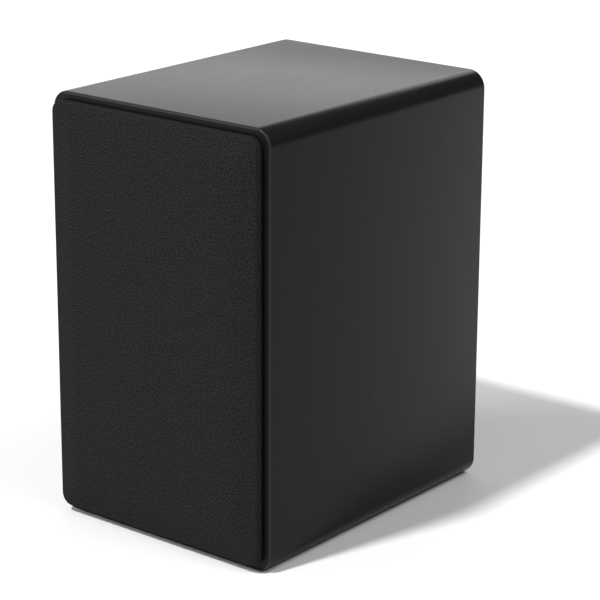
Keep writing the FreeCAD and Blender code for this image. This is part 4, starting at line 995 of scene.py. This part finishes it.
for tone, tint in (("black", (0.010, 0.010, 0.0105)), ("red", (0.42, 0.008, 0.010))):
    shell = Finish(tone + "_knob_plastic", tint, 0.28)
    shell.colour(shell.noise(200, 3), [0.85 * c for c in tint], [1.15 * c for c in tint])
    shell.feed("Roughness", 0.24 + 0.12 * shell.noise(600, 3))
    shell.bump(shell.noise(1200, 2), 0.00002, 0.4)
    low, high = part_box(tone + "_knob")
    across = 0.5 * (low.x + high.x)
    whole = repeated(in_ring, knob_sector(high.y - low.y), shell, (across, low.y, cup_up),
                     Radius=0.0, Count=grooves, First_turn=0.0)
    knob = piece(tone + "_knob_moulding", whole, shell, 38)
    stand_for(knob, tone + "_knob_body", tone + "_knob_plastic", tone + "_knob")
    low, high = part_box(tone + "_base_ring")
    ring_wall = eased([
        (ring_bore, low.y), (knob_radius, low.y), (knob_radius, high.y, foot_round),
        (ring_bore, high.y)])
    ring = piece(tone + "_ring_moulding", turned(ring_wall, across, 0, cup_up, 64), shell, 40)
    stand_for(ring, "root", tone + "_knob_plastic", tone + "_base_ring")
    low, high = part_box(tone + "_clamp_washer")
    washer_wall = eased([
        (stud_fit, low.y, bore_edge), (washer_radius, low.y, washer_edge),
        (washer_radius, high.y, washer_edge), (stud_fit, high.y, bore_edge)])
    washer = piece(
        tone + "_washer_turning", turned(washer_wall, across, 0, cup_up, 64), gold, 40)
    stand_for(washer, tone + "_washer", "post_metal", tone + "_clamp_washer")

# ---- Grille frame and cloth ----
# A moulded frame with four push-in pegs. Fine black acoustic cloth is pulled over its bevel
# and crest and turned under at the back of its side wall, where it is glued.
dress(textured, "grille_frame", "grille_pegs")
cloth_low, cloth_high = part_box("grille_cloth")
bevel_wide, bevel_rise, cloth_thick, grille_round = 0.015, 0.003, 0.0006, 0.0065
crest_y, shoulder_y, back_y = cloth_low.y, cloth_low.y + bevel_rise, cloth_high.y
cloth_half_wide, cloth_half_high = cloth_high.x, 0.5 * (cloth_high.z - cloth_low.z)
hem_inset, hem_deep, shoulder_round, shoulder_dip = 0.0004, 0.0006, 0.0015, 0.0003
crest_round, least_corner = 0.001, 0.0004
pairs = [(hem_inset, back_y), (0.0, back_y - hem_deep), (0.0, shoulder_y + shoulder_round)]
for share in (0.2, 0.4, 0.6, 0.8, 1.0):
    inward, forward = share * share, 1 - (1 - share) ** 2
    dip = shoulder_round * forward + shoulder_dip * inward
    pairs.append((shoulder_round * inward, shoulder_y + shoulder_round - dip))
for share in (0.2, 0.3, 0.45, 0.6, 0.75, 0.88):
    pairs.append((share * bevel_wide, shoulder_y - share * bevel_rise))
for share, below in ((0.95, 0.00022), (1.04, 0.00003), (1.2, 0)):
    pairs.append((share * bevel_wide, crest_y + below))
pairs += [(share * cloth_half_wide, crest_y) for share in (0.4, 0.6, 0.8, 0.95)]
cloth_mesh = bmesh.new()
places = cloth_mesh.verts.layers.float_vector.new("flat_place")
rows = []
for inset, y in pairs:
    share = min(inset / bevel_wide, 1)
    radius = max((1 - share) * grille_round + share * crest_round, least_corner)
    half_across, half_up = cloth_half_wide - inset, cloth_half_high - inset
    outline = rounded_outline(half_across, half_up, radius, middle)
    spare = max(y - shoulder_y, 0)
    spread = rounded_outline(half_across + spare, half_up + spare, radius + spare, middle)
    row = [cloth_mesh.verts.new((x, y, z)) for x, z in outline]
    for vertex, spot in zip(row, spread):
        vertex[places] = (*spot, 0)
    rows.append(row)
join_rings(cloth_mesh, zip(rows, rows[1:]))
cloth_mesh.faces.new(rows[-1])
bmesh.ops.remove_doubles(cloth_mesh, verts=cloth_mesh.verts, dist=1e-7)
bmesh.ops.recalc_face_normals(cloth_mesh, faces=cloth_mesh.faces)
if sum(face.normal.y * face.calc_area() for face in cloth_mesh.faces) > 0:
    bmesh.ops.reverse_faces(cloth_mesh, faces=cloth_mesh.faces)

acoustic = Finish("black_acoustic_cloth", (0.009, 0.009, 0.0095), 0.9, Specular_IOR_Level=0.08)
spot = acoustic.node("Attribute", {"attribute_name": "flat_place"}, {}, "Vector")
across_thread = acoustic.node("SeparateXYZ", {}, {0: spot}, "X")
along_thread = acoustic.node("SeparateXYZ", {}, {0: spot}, "Y")
thread_pitch = 0.0013
thread = 2 * pi / thread_pitch
weave = (across_thread * thread).sine() * (along_thread * thread).sine() * 0.5 + 0.5
fuzz = (acoustic.noise(1150, 3, spot) * 3.5 - 1.25).math("MAXIMUM", 0.0).math("MINIMUM", 1.0)
acoustic.colour(weave * 0.2 + fuzz * 0.8, (0.003, 0.003, 0.003), (0.0255, 0.0255, 0.0258))
acoustic.bump(weave * 0.6 + fuzz * 0.6, 0.00014, 0.5)
cloth = piece("grille_cloth_cover", cloth_mesh, acoustic, 50)
solid = cloth.modifiers.new("thickness", "SOLIDIFY")
solid.thickness, solid.offset = cloth_thick, -1
stand_for(cloth, "grille", "grille_fabric", "grille_cloth")
